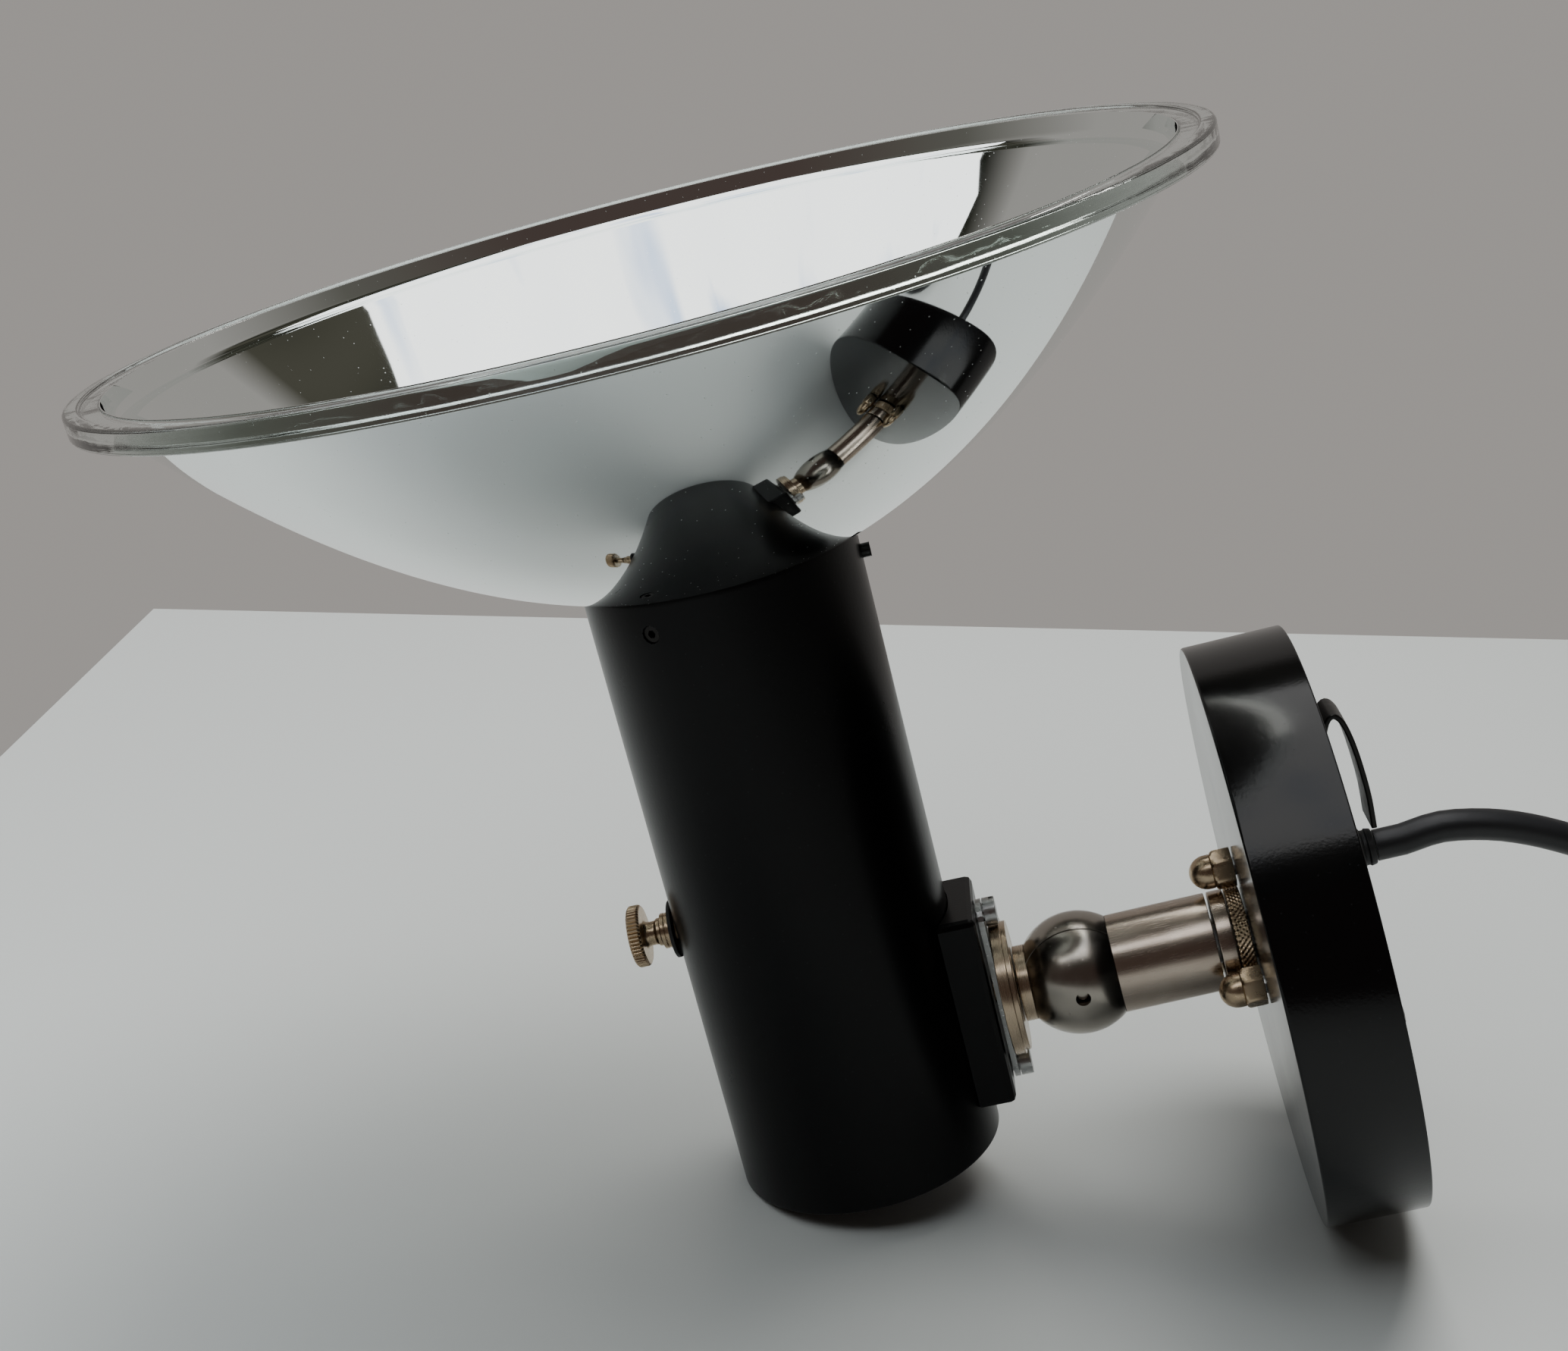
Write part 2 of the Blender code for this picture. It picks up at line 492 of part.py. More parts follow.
COVER_SPAN = (PLATE_BACK - 0.0018, PLATE_BACK - 0.0003)
COVER_SCREW_CIRCLE = 0.0500
cover = turned("back_cover", rod_profile(PLATE_RADIUS - PLATE_WALL - GAP, *COVER_SPAN), BLACK_PAINT,
               arm_axis, steps=48)
for number, angle in enumerate((30.0, 150.0, 270.0), start=1):
    at_pillar = arm_point(COVER_SCREW_CIRCLE * math.cos(math.radians(angle)),
                          COVER_SCREW_CIRCLE * math.sin(math.radians(angle)), 0.0)
    turned(f"cover_pillar_{number}", [
        (0.0035, COVER_SPAN[0] - GAP), (0.0035, INSIDE_FRONT + GAP), (0.0, INSIDE_FRONT + GAP),
        (0.0, 0.0500), (0.0018, 0.0500), (0.0018, COVER_SPAN[0] - GAP)],
        ZINC, arm_axis, at_pillar, steps=12, ring=True)
    turned(f"cover_screw_{number}", [
        (0.0, COVER_SPAN[1] + 0.0018), (0.0020, COVER_SPAN[1] + 0.0018), (0.0030, COVER_SPAN[1] + GAP),
        (0.0015, COVER_SPAN[1] + GAP), (0.0015, 0.0510), (0.0, 0.0510)],
        ZINC, arm_axis, at_pillar, steps=14)
    drill(cover, 0.0018, (0.055, 0.065), arm_axis, at_pillar, steps=12)

# ------------------------------------------------------------------ hanger hook on the back cover
HOOK_ROUTE = ((0.0009, 0.0220), (0.0009, 0.0290), (0.0010, 0.0360), (0.0018, 0.0425), (0.0032, 0.0465),
              (0.0048, 0.0476), (0.0063, 0.0460), (0.0074, 0.0420), (0.0082, 0.0360), (0.0087, 0.0280),
              (0.0085, 0.0205))
RIVET_HEIGHTS = (0.0255, 0.0320)


def hook_strip():
    """The hook's middle surface: its route on the centre plane, drawn out sideways to its width."""
    route = smooth_route([(-above, 0.0, PLATE_BACK + behind) for behind, above in HOOK_ROUTE], 0.0028)
    builder = bmesh.new()
    rails = []
    for side in (-0.5, 0.5):
        rails.append([builder.verts.new(point + Vector((0, side * HOOK_WIDTH, 0))) for point in route])
    for near_a, near_b, far_b, far_a in zip(rails[0], rails[0][1:], rails[1][1:], rails[1]):
        builder.faces.new((near_a, near_b, far_b, far_a))
    mesh = bpy.data.meshes.new("hanger_hook")
    builder.to_mesh(mesh)
    builder.free()
    return mesh


hook = place_object("hanger_hook", hook_strip(), BLACK_STEEL, arm_axis, (0, 0, 0), (0, 0, 0))
solid = hook.modifiers.new("thickness", "SOLIDIFY")
solid.thickness = HOOK_THICKNESS
solid.offset = 0.0
for number, above in enumerate(RIVET_HEIGHTS, start=1):
    at_rivet = arm_point(above, 0.0, 0.0)
    rivet_seat = PLATE_BACK + 0.0009 + HOOK_THICKNESS / 2 + GAP
    turned(f"hook_rivet_{number}", [
        (0.0, rivet_seat + 0.0005), (0.0016, rivet_seat + 0.0004), (0.0022, rivet_seat),
        (0.0012, rivet_seat), (0.0012, COVER_SPAN[0] - 0.0006), (0.0, COVER_SPAN[0] - 0.0006)],
        BLACK_STEEL, arm_axis, at_rivet, steps=12)
    drill(hook, 0.0015, (PLATE_BACK - 0.002, PLATE_BACK + 0.0035), arm_axis, at_rivet, steps=12)
    drill(cover, 0.0015, (0.055, 0.065), arm_axis, at_rivet, steps=12)

# ------------------------------------------------------------------ wiring inside the plate and arm
at_cord = arm_point(CORD_HEIGHT, 0.0, 0.0)
RELIEF_START = 0.0485
RELIEF_END = 0.0690
turned("strain_relief", [
    (0.0, RELIEF_END), (0.0039, RELIEF_END), (0.0056, PLATE_BACK + 0.0001), (0.0047, PLATE_BACK),
    (0.0047, COVER_SPAN[0] - GAP), (0.0066, COVER_SPAN[0] - GAP), (0.0066, 0.0566), (0.0046, RELIEF_START),
    (0.0, RELIEF_START)], RUBBER, arm_axis, at_cord, steps=20)
drill(cover, 0.0050, (0.055, 0.065), arm_axis, at_cord, steps=20)
block("terminal_block", (0.0130, 0.0240, 0.0120), WHITE_PLASTIC, arm_axis,
      arm_point(-0.0260, 0.0, INSIDE_FRONT + GAP + 0.0060))
wire("inner_lead", [
    arm_point(0.0140, 0.0, 0.0482), arm_point(0.0140, 0.0003, 0.0468), arm_point(0.0130, 0.0030, 0.0456),
    arm_point(0.0090, 0.0090, 0.0453), arm_point(0.0020, 0.0130, 0.0453),
    arm_point(-0.0080, 0.0120, 0.0460), arm_point(-0.0165, 0.0080, 0.0470),
    arm_point(-0.0190, 0.0080, 0.0470)],
    0.0014, BLACK_PVC, arm_axis, spacing=0.004)
wire("arm_lead", [
    arm_point(-0.0190, -0.0050, 0.0470), arm_point(-0.0165, -0.0050, 0.0472),
    arm_point(-0.0130, -0.0045, 0.0505),
    arm_point(-0.0080, -0.0025, 0.0535), arm_point(-0.0020, 0.0, 0.0530), arm_point(0.0, 0.0, 0.0500),
    arm_point(0.0, 0.0, 0.0460), arm_point(0.0, 0.0, 0.0340), arm_point(0.0, 0.0, 0.0215)],
    0.0014, BLACK_PVC, arm_axis, spacing=0.006)
wire("head_lead", [
    (0.0, 0.0, 0.0455), (0.0006, 0.0, 0.0400), (0.0040, 0.0, 0.0345), (0.0110, 0.0, 0.0320),
    (0.0200, 0.0, BALL_HEIGHT), (0.0300, 0.0, BALL_HEIGHT), (0.0400, 0.0, BALL_HEIGHT)],
    0.0014, BLACK_PVC, stance, spacing=0.006)

# ------------------------------------------------------------------ mains cord, in the world's axes
CORD_START = RELIEF_END + GAP


def world_point(above, along):
    """Where a point on the plate's centre plane lies in the world, from its place along the arm."""
    rise = STANCE_TILT + KNUCKLE_BEND
    base = Vector((ORIGIN_SHIFT + BALL_OFFSET * math.cos(STANCE_TILT) - BALL_HEIGHT * math.sin(STANCE_TILT),
                   0.0,
                   STANCE_LIFT + BALL_OFFSET * math.sin(STANCE_TILT) + BALL_HEIGHT * math.cos(STANCE_TILT)))
    return base + Vector((along * math.cos(rise) - above * math.sin(rise), 0.0,
                          along * math.sin(rise) + above * math.cos(rise)))


CORD_ROUTE = [
    (0.1444, 0.0, 0.0889), (0.1544, 0.0, 0.0897), (0.1634, 0.0, 0.0888), (0.1724, 0.0, 0.0867),
    (0.1814, 0.0, 0.0839), (0.1889, 0.0, 0.0792), (0.1949, 0.0, 0.0726), (0.1990, 0.0, 0.0648),
    (0.2035, 0.0, 0.0524), (0.2080, 0.0, 0.0400), (0.2121, 0.0, 0.0321), (0.2195, 0.0, 0.0245)]
cord_exit = [world_point(CORD_HEIGHT, CORD_START + ahead) for ahead in (0.0, 0.0030, 0.0060)]
wire("cord", cord_exit + CORD_ROUTE, CORD_RADIUS, RUBBER, spacing=0.012)

coil_x, coil_y = COIL_CENTRE
coil_inner, coil_outer = COIL_RADII
coil_low, coil_high = COIL_HEIGHT
CORNER = 0.0022
turned("cord_coil", [
    (coil_outer - CORNER, coil_high), (coil_outer, coil_high - CORNER), (coil_outer, coil_low + CORNER),
    (coil_outer - CORNER, coil_low), (coil_inner + CORNER, coil_low), (coil_inner, coil_low + CORNER),
    (coil_inner, coil_high - CORNER), (coil_inner + CORNER, coil_high)],
    RUBBER, None, (coil_x, coil_y, 0.0), steps=32, ring=True)
LYING = 0.0036                       # height of the cord's middle where it lies on the surface
wire("cord_tail", [
    (coil_x + 0.0365, coil_y + 0.0365, LYING), (coil_x + 0.0445, coil_y + 0.0270, LYING),
    (coil_x + 0.0498, coil_y + 0.0165, LYING), (coil_x + 0.0523, coil_y + 0.0040, LYING),
    (coil_x + 0.0525, coil_y - 0.0100, LYING)], CORD_RADIUS, RUBBER, spacing=0.012)

# ------------------------------------------------------------------ mains plug beside the coil
PLUG_SIZE = (0.0340, 0.0360, 0.0136)
plug_x = coil_x + 0.0525
boot_start = coil_y - 0.0100 - GAP
boot_end = boot_start - 0.0232
plug_y = boot_end - PLUG_SIZE[1] / 2
plug = block("plug", PLUG_SIZE, BLACK_PVC, None, (plug_x, plug_y, PLUG_SIZE[2] / 2 + 0.0001), rounding=0.003)
boot = turned("plug_boot_stock", [
    (0.0, boot_start), (0.0035, boot_start), (0.0060, boot_end - 0.001), (0.0, boot_end - 0.001)],
    None, None, (plug_x, 0.0, 0.0063), ALONG_Y, steps=20)
combine(plug, boot, "UNION")
PIN_LENGTH = 0.019
for number, side in enumerate((-1, 1), start=1):
    pin_top = plug_y - PLUG_SIZE[1] / 2 - GAP
    turned(f"plug_pin_{number}", [
        (0.0, pin_top), (0.0020, pin_top), (0.0020, pin_top - PIN_LENGTH + 0.001),
        (0.0012, pin_top - PIN_LENGTH), (0.0, pin_top - PIN_LENGTH)],
        BRASS, None, (plug_x + side * 0.0093, 0.0, PLUG_SIZE[2] / 2 + 0.0001), ALONG_Y, steps=12)
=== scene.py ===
"""Looks for the wall spotlight: mirrored glass bowl, black tube, split ball knuckle, arm and wall plate."""
import json

import bmesh
import bpy
import numpy as np
from mathutils import Euler, Matrix, Vector


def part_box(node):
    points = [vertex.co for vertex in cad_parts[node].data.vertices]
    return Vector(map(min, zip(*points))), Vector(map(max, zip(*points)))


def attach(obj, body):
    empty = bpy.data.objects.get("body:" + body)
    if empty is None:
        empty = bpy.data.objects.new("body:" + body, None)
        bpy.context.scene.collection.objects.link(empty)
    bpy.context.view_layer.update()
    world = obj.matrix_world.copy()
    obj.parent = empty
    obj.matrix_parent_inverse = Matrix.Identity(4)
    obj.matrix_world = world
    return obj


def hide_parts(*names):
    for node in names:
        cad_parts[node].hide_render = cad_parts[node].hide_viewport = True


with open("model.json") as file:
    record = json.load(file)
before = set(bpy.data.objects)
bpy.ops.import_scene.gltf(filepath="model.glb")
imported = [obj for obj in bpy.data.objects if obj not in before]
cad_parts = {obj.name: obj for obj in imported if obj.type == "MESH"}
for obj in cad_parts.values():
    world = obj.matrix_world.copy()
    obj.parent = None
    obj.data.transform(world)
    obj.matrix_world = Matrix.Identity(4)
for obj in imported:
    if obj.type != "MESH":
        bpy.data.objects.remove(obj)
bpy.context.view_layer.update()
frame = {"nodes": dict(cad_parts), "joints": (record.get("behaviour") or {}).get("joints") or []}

# Camera. It stands half a metre in front, a little above the bowl's rim, and looks down at the lamp
# with a short telephoto lens.
camera_data = bpy.data.cameras.new("camera")
camera_data.lens = 53.1
camera_data.sensor_width = 36.0
camera = bpy.data.objects.new("camera", camera_data)
bpy.context.scene.collection.objects.link(camera)
PITCH, TURN, ROLL = np.radians((71.44, 2.26, 0.586))
look = Euler((PITCH, 0.0, TURN)).to_matrix() @ Matrix.Rotation(ROLL, 3, "Z")
camera.matrix_world = Matrix.Translation((0.0197, -0.4722, 0.2788)) @ look.to_4x4()
bpy.context.scene.camera = camera

# Mains cord. A round two-core lead in a black rubber sheath, 7 mm thick and 1.8 m long, moulded on at
# the plate and the plug. It arches out of the plate and comes down to a coil of six turns.
MM = 0.001
CLAMP_HEIGHT = 0.062
joints = {joint["name"]: joint for joint in frame["joints"]}
arm_axis = np.array(joints["arm_swivel"]["axis"])
ball_centre = np.array(joints["arm_swivel"]["pos_m"])
tube_axis = np.array(joints["lamp_focus"]["axis"])
clamp_axis = np.array(joints["clamp_screw_turn"]["axis"])
clamp_centre = np.array(joints["clamp_screw_turn"]["pos_m"])


def placing(origin, z_axis):
    """Matrix whose Z column is the given axis, whose Y is the world's Y, and whose X is their product."""
    z_axis = z_axis / np.linalg.norm(z_axis)
    matrix = np.eye(4)
    matrix[:3, 0] = np.cross((0.0, 1.0, 0.0), z_axis)
    matrix[:3, 1] = (0.0, 1.0, 0.0)
    matrix[:3, 2] = z_axis
    matrix[:3, 3] = origin
    return matrix


TUBE = placing(clamp_centre - CLAMP_HEIGHT * tube_axis, tube_axis)
ARM = placing(ball_centre, arm_axis)
CLAMP = placing(clamp_centre, clamp_axis)


def placed(points, matrix):
    """Local points as an array of rows, moved into the world by a matrix."""
    points = np.asarray(points, float)
    return points @ matrix[:3, :3].T + matrix[:3, 3]


def catmull(points, spacing):
    """Points about one spacing apart on the Catmull-Rom curve through the given points. Between two of
    them it is a cubic whose end slopes are half the step from the point before to the point after."""
    points = np.asarray(points, float)
    knots = np.vstack([2 * points[0] - points[1], points, 2 * points[-1] - points[-2]])
    pieces = []
    for before, start, end, after in zip(knots, knots[1:], knots[2:], knots[3:]):
        count = max(1, round(np.linalg.norm(end - start) / spacing))
        t = (np.arange(count) / count)[:, None]
        pieces.append(start + 0.5 * ((end - before) * t + (2 * before - 5 * start + 4 * end - after) * t ** 2
                                     + (3 * start - before - 3 * end + after) * t ** 3))
    return np.vstack(pieces + [points[-1:]])


CORD_RADIUS = 0.0035
CORD_OFFSET, CORD_START = -0.014, 0.0693
COIL_X, COIL_Y = 0.2400, -0.0440
exit_points = placed([(CORD_OFFSET, 0.0, CORD_START + ahead) for ahead in (0.0, 0.003, 0.006)], ARM)
OUTWARD_ROUTE = [
    (0.1444, 0.0, 0.0889), (0.1544, 0.0, 0.0897), (0.1634, 0.0, 0.0888), (0.1724, 0.0, 0.0867),
    (0.1814, 0.0, 0.0839), (0.1889, 0.0, 0.0792), (0.1949, 0.0, 0.0726), (0.1990, 0.0, 0.0648),
    (0.2035, 0.0, 0.0524), (0.2080, 0.0, 0.0400), (0.2121, 0.0, 0.0321), (0.2195, 0.0, 0.0245),
    (0.2290, 0.0, 0.0190)]
# The coil has three layers of two turns, clockwise from +Y: a wide turn, and a narrow one inside it.
# The cord moves in or out over the last part of a turn, and drops to the next layer with it.
TURNS, TURN_POINTS = 6, 36
WIDE_TURN, NARROWING, MOVING = 0.0440, 0.0070, 0.15
TOP_LAYER, LAYER, DROPPING = 0.0176, 0.0070, 0.20
angle = np.arange(TURNS * TURN_POINTS + 1) / TURN_POINTS
in_layer = angle % 2
inward = np.clip(np.where(in_layer < 1, in_layer - 1 + MOVING, 2 - in_layer) / MOVING, 0.0, 1.0)
winding = WIDE_TURN - NARROWING * inward
drop = np.clip((in_layer - 2 + DROPPING) / DROPPING, 0.0, 1.0)
depth = TOP_LAYER - LAYER * np.minimum(np.floor(angle / 2) + drop, TURNS / 2 - 1)
bearing = np.radians(90.0) - 2 * np.pi * angle
coil_points = np.stack([COIL_X + winding * np.cos(bearing), COIL_Y + winding * np.sin(bearing), depth], 1)
LYING = 0.0036
TAIL_ROUTE = [
    (COIL_X + 0.0200, COIL_Y + 0.0438, LYING), (COIL_X + 0.0365, COIL_Y + 0.0365, LYING),
    (COIL_X + 0.0445, COIL_Y + 0.0270, LYING), (COIL_X + 0.0498, COIL_Y + 0.0165, LYING),
    (COIL_X + 0.0523, COIL_Y + 0.0040, LYING), (COIL_X + 0.0525, COIL_Y - 0.0100, LYING)]
cord_path = np.vstack([catmull(np.vstack([exit_points, OUTWARD_ROUTE, coil_points[:1]]), 0.003)[:-1],
                       coil_points, catmull(np.vstack([coil_points[-1:], TAIL_ROUTE]), 0.004)[1:]])


def tube_along(name, path, radius):
    """A curve object with one open spline through the path and a round section of the given radius."""
    curve = bpy.data.curves.new(name, "CURVE")
    curve.dimensions = "3D"
    curve.bevel_depth = radius
    curve.bevel_resolution = 6
    curve.use_fill_caps = True
    spline = curve.splines.new("POLY")
    spline.points.add(len(path) - 1)
    spline.points.foreach_set("co", np.hstack([path, np.ones((len(path), 1))]).ravel())
    spline.use_smooth = True
    piece = bpy.data.objects.new(name, curve)
    bpy.context.scene.collection.objects.link(piece)
    return piece


def linear(hex_colour):
    """An sRGB hex colour as linear red, green, blue and alpha."""
    parts = np.array([int(hex_colour[place:place + 2], 16) / 255 for place in (1, 3, 5)])
    shades = np.where(parts <= 0.04045, parts / 12.92, ((parts + 0.055) / 1.055) ** 2.4)
    return (*shades.tolist(), 1.0)


def add(tree, kind, settings=None, to=None, **links):
    """Adds a node, sets its properties and sockets from a dictionary, links sources to its named inputs,
    and links the first of its outputs in use to a given socket."""
    node = tree.nodes.new(kind)
    for key, value in (settings or {}).items():
        if hasattr(node, key):
            setattr(node, key, value)
        else:
            node.inputs[key].default_value = value
    for socket, source in links.items():
        tree.links.new(source, node.inputs[socket.replace("_", " ")])
    if to:
        tree.links.new(next(output for output in node.outputs if output.enabled), to)
    return node


def finish_of(name, hex_colour, metallic, roughness, **sockets):
    """A Principled material on Object coordinates. Returns the material, tree, shader and coordinates."""
    material = bpy.data.materials.new(name)
    material.use_nodes = True
    tree = material.node_tree
    shader = tree.nodes["Principled BSDF"]
    shader.inputs["Base Color"].default_value = linear(hex_colour)
    shader.inputs["Metallic"].default_value = metallic
    shader.inputs["Roughness"].default_value = roughness
    for socket, value in sockets.items():
        shader.inputs[socket.replace("_", " ")].default_value = value
    coordinates = add(tree, "ShaderNodeTexCoord").outputs["Object"]
    return material, tree, shader, coordinates


# Rubber sheath: extruded and matte, with a faint orange peel 0.8 mm across and dust-dulled patches of
# 11 mm. A noise or cell scale is 1 over the real size in metres, here and below.
sheath, tree, shader, place = finish_of("extruded_rubber_sheath", "#16171a", 0.0, 0.5, IOR=1.52)
peel = add(tree, "ShaderNodeTexNoise", {"Scale": 1250.0, "Detail": 2.0}, Vector=place)
add(tree, "ShaderNodeBump", {"Distance": 0.03 * MM}, shader.inputs["Normal"], Height=peel.outputs["Fac"])
patches = add(tree, "ShaderNodeTexNoise", {"Scale": 90.0, "Detail": 4.0}, Vector=place)
add(tree, "ShaderNodeMapRange", {"To Min": 0.36, "To Max": 0.56}, shader.inputs["Roughness"],
    Value=patches.outputs["Fac"])

cord = tube_along("mains_cord", cord_path, CORD_RADIUS)
cord.data.materials.append(sheath)
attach(cord, "wall_base")
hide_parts("cord", "cord_coil", "cord_tail")


# Black tube. Extruded aluminium, 60 mm across with a 2.5 mm wall, turned to length and sprayed with a
# satin black enamel. Three tapped holes near its top take the grub screws that hold the bowl's neck.
def eased(corners, loop=True, steps=7):
    """Profile through (radius, height, rounding) corners. A rounded corner is the quadratic curve
    (1 - t)^2 start + 2 t (1 - t) corner + t^2 end, from one rounding before it to one after it."""
    corners = np.array([(*corner, 0.0)[:3] for corner in corners])
    points = corners[:, :2]
    before, after = np.roll(points, 1, 0), np.roll(points, -1, 0)
    if not loop:
        before[0], after[-1] = points[0], points[-1]
    stops = []
    for target in (before, after):
        reach = np.linalg.norm(target - points, axis=1, keepdims=True)
        pull = np.minimum(corners[:, 2:], reach / 2)
        stops.append(points + (target - points) / np.maximum(reach, 1e-9) * pull)
    t = np.linspace(0.0, 1.0, steps)[None, :, None]
    starts, ends = stops[0][:, None], stops[1][:, None]
    curves = (1 - t) ** 2 * starts + 2 * t * (1 - t) * points[:, None] + t ** 2 * ends
    rounded = corners[:, 2] > 0
    return np.vstack([curve if smooth else curve[:1] for curve, smooth in zip(curves, rounded)])


def revolved(profile, steps):
    """Grid of points x = r cos a, y = r sin a, z = h for each (r, h) of a profile and each angle a."""
    turn = 2 * np.pi * np.arange(steps)[:, None] / steps
    radius, height = profile[:, 0], profile[:, 1]
    return np.stack([radius * np.cos(turn), radius * np.sin(turn), height + 0 * turn], -1)


def surface(grid, matrix, loop=True):
    """World points and faces of a grid. Its last row joins its first, and so do the columns in a loop."""
    rows, columns = grid.shape[:2]
    index = np.arange(rows * columns).reshape(rows, columns)
    if loop:
        index = np.hstack([index, index[:, :1]])
    ahead = np.roll(index, -1, axis=0)
    faces = np.stack([index[:, :-1], ahead[:, :-1], ahead[:, 1:], index[:, 1:]], -1).reshape(-1, 4)
    return placed(grid.reshape(-1, 3), matrix), faces


def build(name, surfaces, body, slot, material, *nodes, crease=32.0):
    """One piece from closed surfaces. Points that fall together are merged, faces are turned outwards,
    and edges sharper than the crease angle stay hard."""
    points, faces, count = [], [], 0
    for part_points, part_faces in surfaces:
        points.append(part_points)
        faces.append(part_faces + count)
        count += len(part_points)
    mesh = bpy.data.meshes.new(name)
    mesh.from_pydata(np.vstack(points).tolist(), [], np.vstack(faces).tolist())
    shell = bmesh.new()
    shell.from_mesh(mesh)
    bmesh.ops.remove_doubles(shell, verts=shell.verts, dist=2e-7)
    bmesh.ops.recalc_face_normals(shell, faces=shell.faces)
    shell.to_mesh(mesh)
    shell.free()
    mesh.shade_smooth()
    mesh.set_sharp_from_angle(angle=np.radians(crease))
    mesh.materials.append(material)
    piece = bpy.data.objects.new(name, mesh)
    bpy.context.scene.collection.objects.link(piece)
    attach(piece, body)
    if nodes:
        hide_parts(*nodes)
    return piece


def in_sizes(tree, place, frame_matrix, sizes_mm):
    """Coordinates along a frame's own axes, where one unit is the given size in mm on each axis."""
    rotation = Matrix(frame_matrix[:3, :3].tolist()).to_euler()
    mapping = add(tree, "ShaderNodeMapping", {
        "vector_type": "TEXTURE", "Location": frame_matrix[:3, 3].tolist(), "Rotation": rotation,
        "Scale": [size * MM for size in sizes_mm]}, Vector=place)
    return mapping.outputs["Vector"]


# Sprayed enamel: black paint with a fine orange peel 0.7 mm across. Handling leaves it with duller
# and shinier clouds 26 mm across, and a thin scatter of dust.
def black_enamel(name, smooth, dull, gloss):
    """Sprayed black enamel whose roughness wanders between two values, with a specular level."""
    material, tree, shader, place = finish_of(name, "#060607", 0.0, smooth, IOR=1.5,
                                              Specular_IOR_Level=gloss)
    clouds = add(tree, "ShaderNodeTexNoise", {"Scale": 38.0, "Detail": 5.0, "Roughness": 0.6}, Vector=place)
    add(tree, "ShaderNodeMapRange", {"To Min": smooth, "To Max": dull}, shader.inputs["Roughness"],
        Value=clouds.outputs["Fac"])
    specks = add(tree, "ShaderNodeTexVoronoi", {"Scale": 420.0}, Vector=place)
    dust = add(tree, "ShaderNodeMapRange", {"From Min": 0.10, "From Max": 0.04},
               Value=specks.outputs["Distance"])
    add(tree, "ShaderNodeMix", {"data_type": "RGBA", "A": linear("#060607"), "B": linear("#1b1c1e")},
        shader.inputs["Base Color"], Factor=dust.outputs["Result"])
    peel = add(tree, "ShaderNodeTexNoise", {"Scale": 1400.0, "Detail": 1.0}, Vector=place)
    add(tree, "ShaderNodeBump", {"Distance": 0.012 * MM}, shader.inputs["Normal"], Height=peel.outputs["Fac"])
    return material


tube_enamel = black_enamel("satin_black_spray_enamel", 0.24, 0.34, 0.16)
TUBE_RADIUS, TUBE_BORE, TUBE_LENGTH = 0.0300, 0.0275, 0.1450
GRUB_HEIGHT, GRUB_HOLE, GRUB_SINK = 0.1375, 0.00185, 0.0018
GRUB_AZIMUTHS = np.radians((-117.0, 3.0, 123.0))
PATCH, MESH_STEP, SNAP, HALF_EDGE = 0.0026, 0.0002, 0.00016, 0.00004
hole_reach = np.arange(-PATCH, PATCH + 0.00001, MESH_STEP)
wall_heights = np.concatenate([np.linspace(TUBE_LENGTH - 0.0004, 0.1405, 4),
                               (GRUB_HEIGHT + hole_reach)[::-1], np.linspace(0.134, 0.0008, 40)])
tube_profile = np.vstack([
    [(TUBE_BORE, TUBE_LENGTH), (TUBE_RADIUS - 0.0004, TUBE_LENGTH)],
    [(TUBE_RADIUS - 0.0001, TUBE_LENGTH - 0.0001)],
    np.stack([np.full(len(wall_heights), TUBE_RADIUS), wall_heights], 1),
    eased([(TUBE_RADIUS, 0.0008), (TUBE_RADIUS, 0.0, 0.0007), (TUBE_BORE, 0.0)], loop=False)[1:]])
around = np.unique(np.round(np.concatenate(
    [np.linspace(0, 2 * np.pi, 180, endpoint=False)]
    + [(azimuth + hole_reach / TUBE_RADIUS) % (2 * np.pi) for azimuth in GRUB_AZIMUTHS]), 6))
tube_grid = np.stack([tube_profile[:, 0] * np.cos(around)[:, None],
                      tube_profile[:, 0] * np.sin(around)[:, None],
                      tube_profile[:, 1] + 0 * around[:, None]], -1)
for azimuth in GRUB_AZIMUTHS:
    # Polar coordinates round the hole on the unrolled wall: points within its radius sink by 1.8 mm,
    # and points next to its edge are moved onto one of two circles that make the edge round.
    sideways = ((around[:, None] - azimuth + np.pi) % (2 * np.pi) - np.pi) * TUBE_RADIUS
    upward = tube_grid[..., 2] - GRUB_HEIGHT
    far = np.hypot(sideways, upward)
    on_wall = (np.hypot(tube_grid[..., 0], tube_grid[..., 1]) > TUBE_RADIUS - 0.00005) & (far < PATCH)
    inside = far < GRUB_HOLE
    edge = np.abs(far - GRUB_HOLE) < SNAP
    snapped = np.where(edge, np.where(inside, GRUB_HOLE - HALF_EDGE, GRUB_HOLE + HALF_EDGE), far)
    ratio = snapped / np.maximum(far, 1e-9)
    angle_there = azimuth + sideways * ratio / TUBE_RADIUS
    radius_there = np.where(inside, TUBE_RADIUS - GRUB_SINK, TUBE_RADIUS)
    hole = np.stack([radius_there * np.cos(angle_there), radius_there * np.sin(angle_there),
                     GRUB_HEIGHT + upward * ratio], -1)
    tube_grid = np.where(on_wall[..., None], hole, tube_grid)
build("tube_housing", [surface(tube_grid, TUBE)], "head", "black_paint", tube_enamel, "housing")
CAP_RADIUS, CAP_LOW, CAP_HIGH = 0.0272, 0.0012, 0.0040
cap_profile = eased([(0.0, CAP_LOW), (CAP_RADIUS, CAP_LOW, 0.0004), (CAP_RADIUS, CAP_HIGH, 0.0004),
                     (0.0, CAP_HIGH)], loop=False)
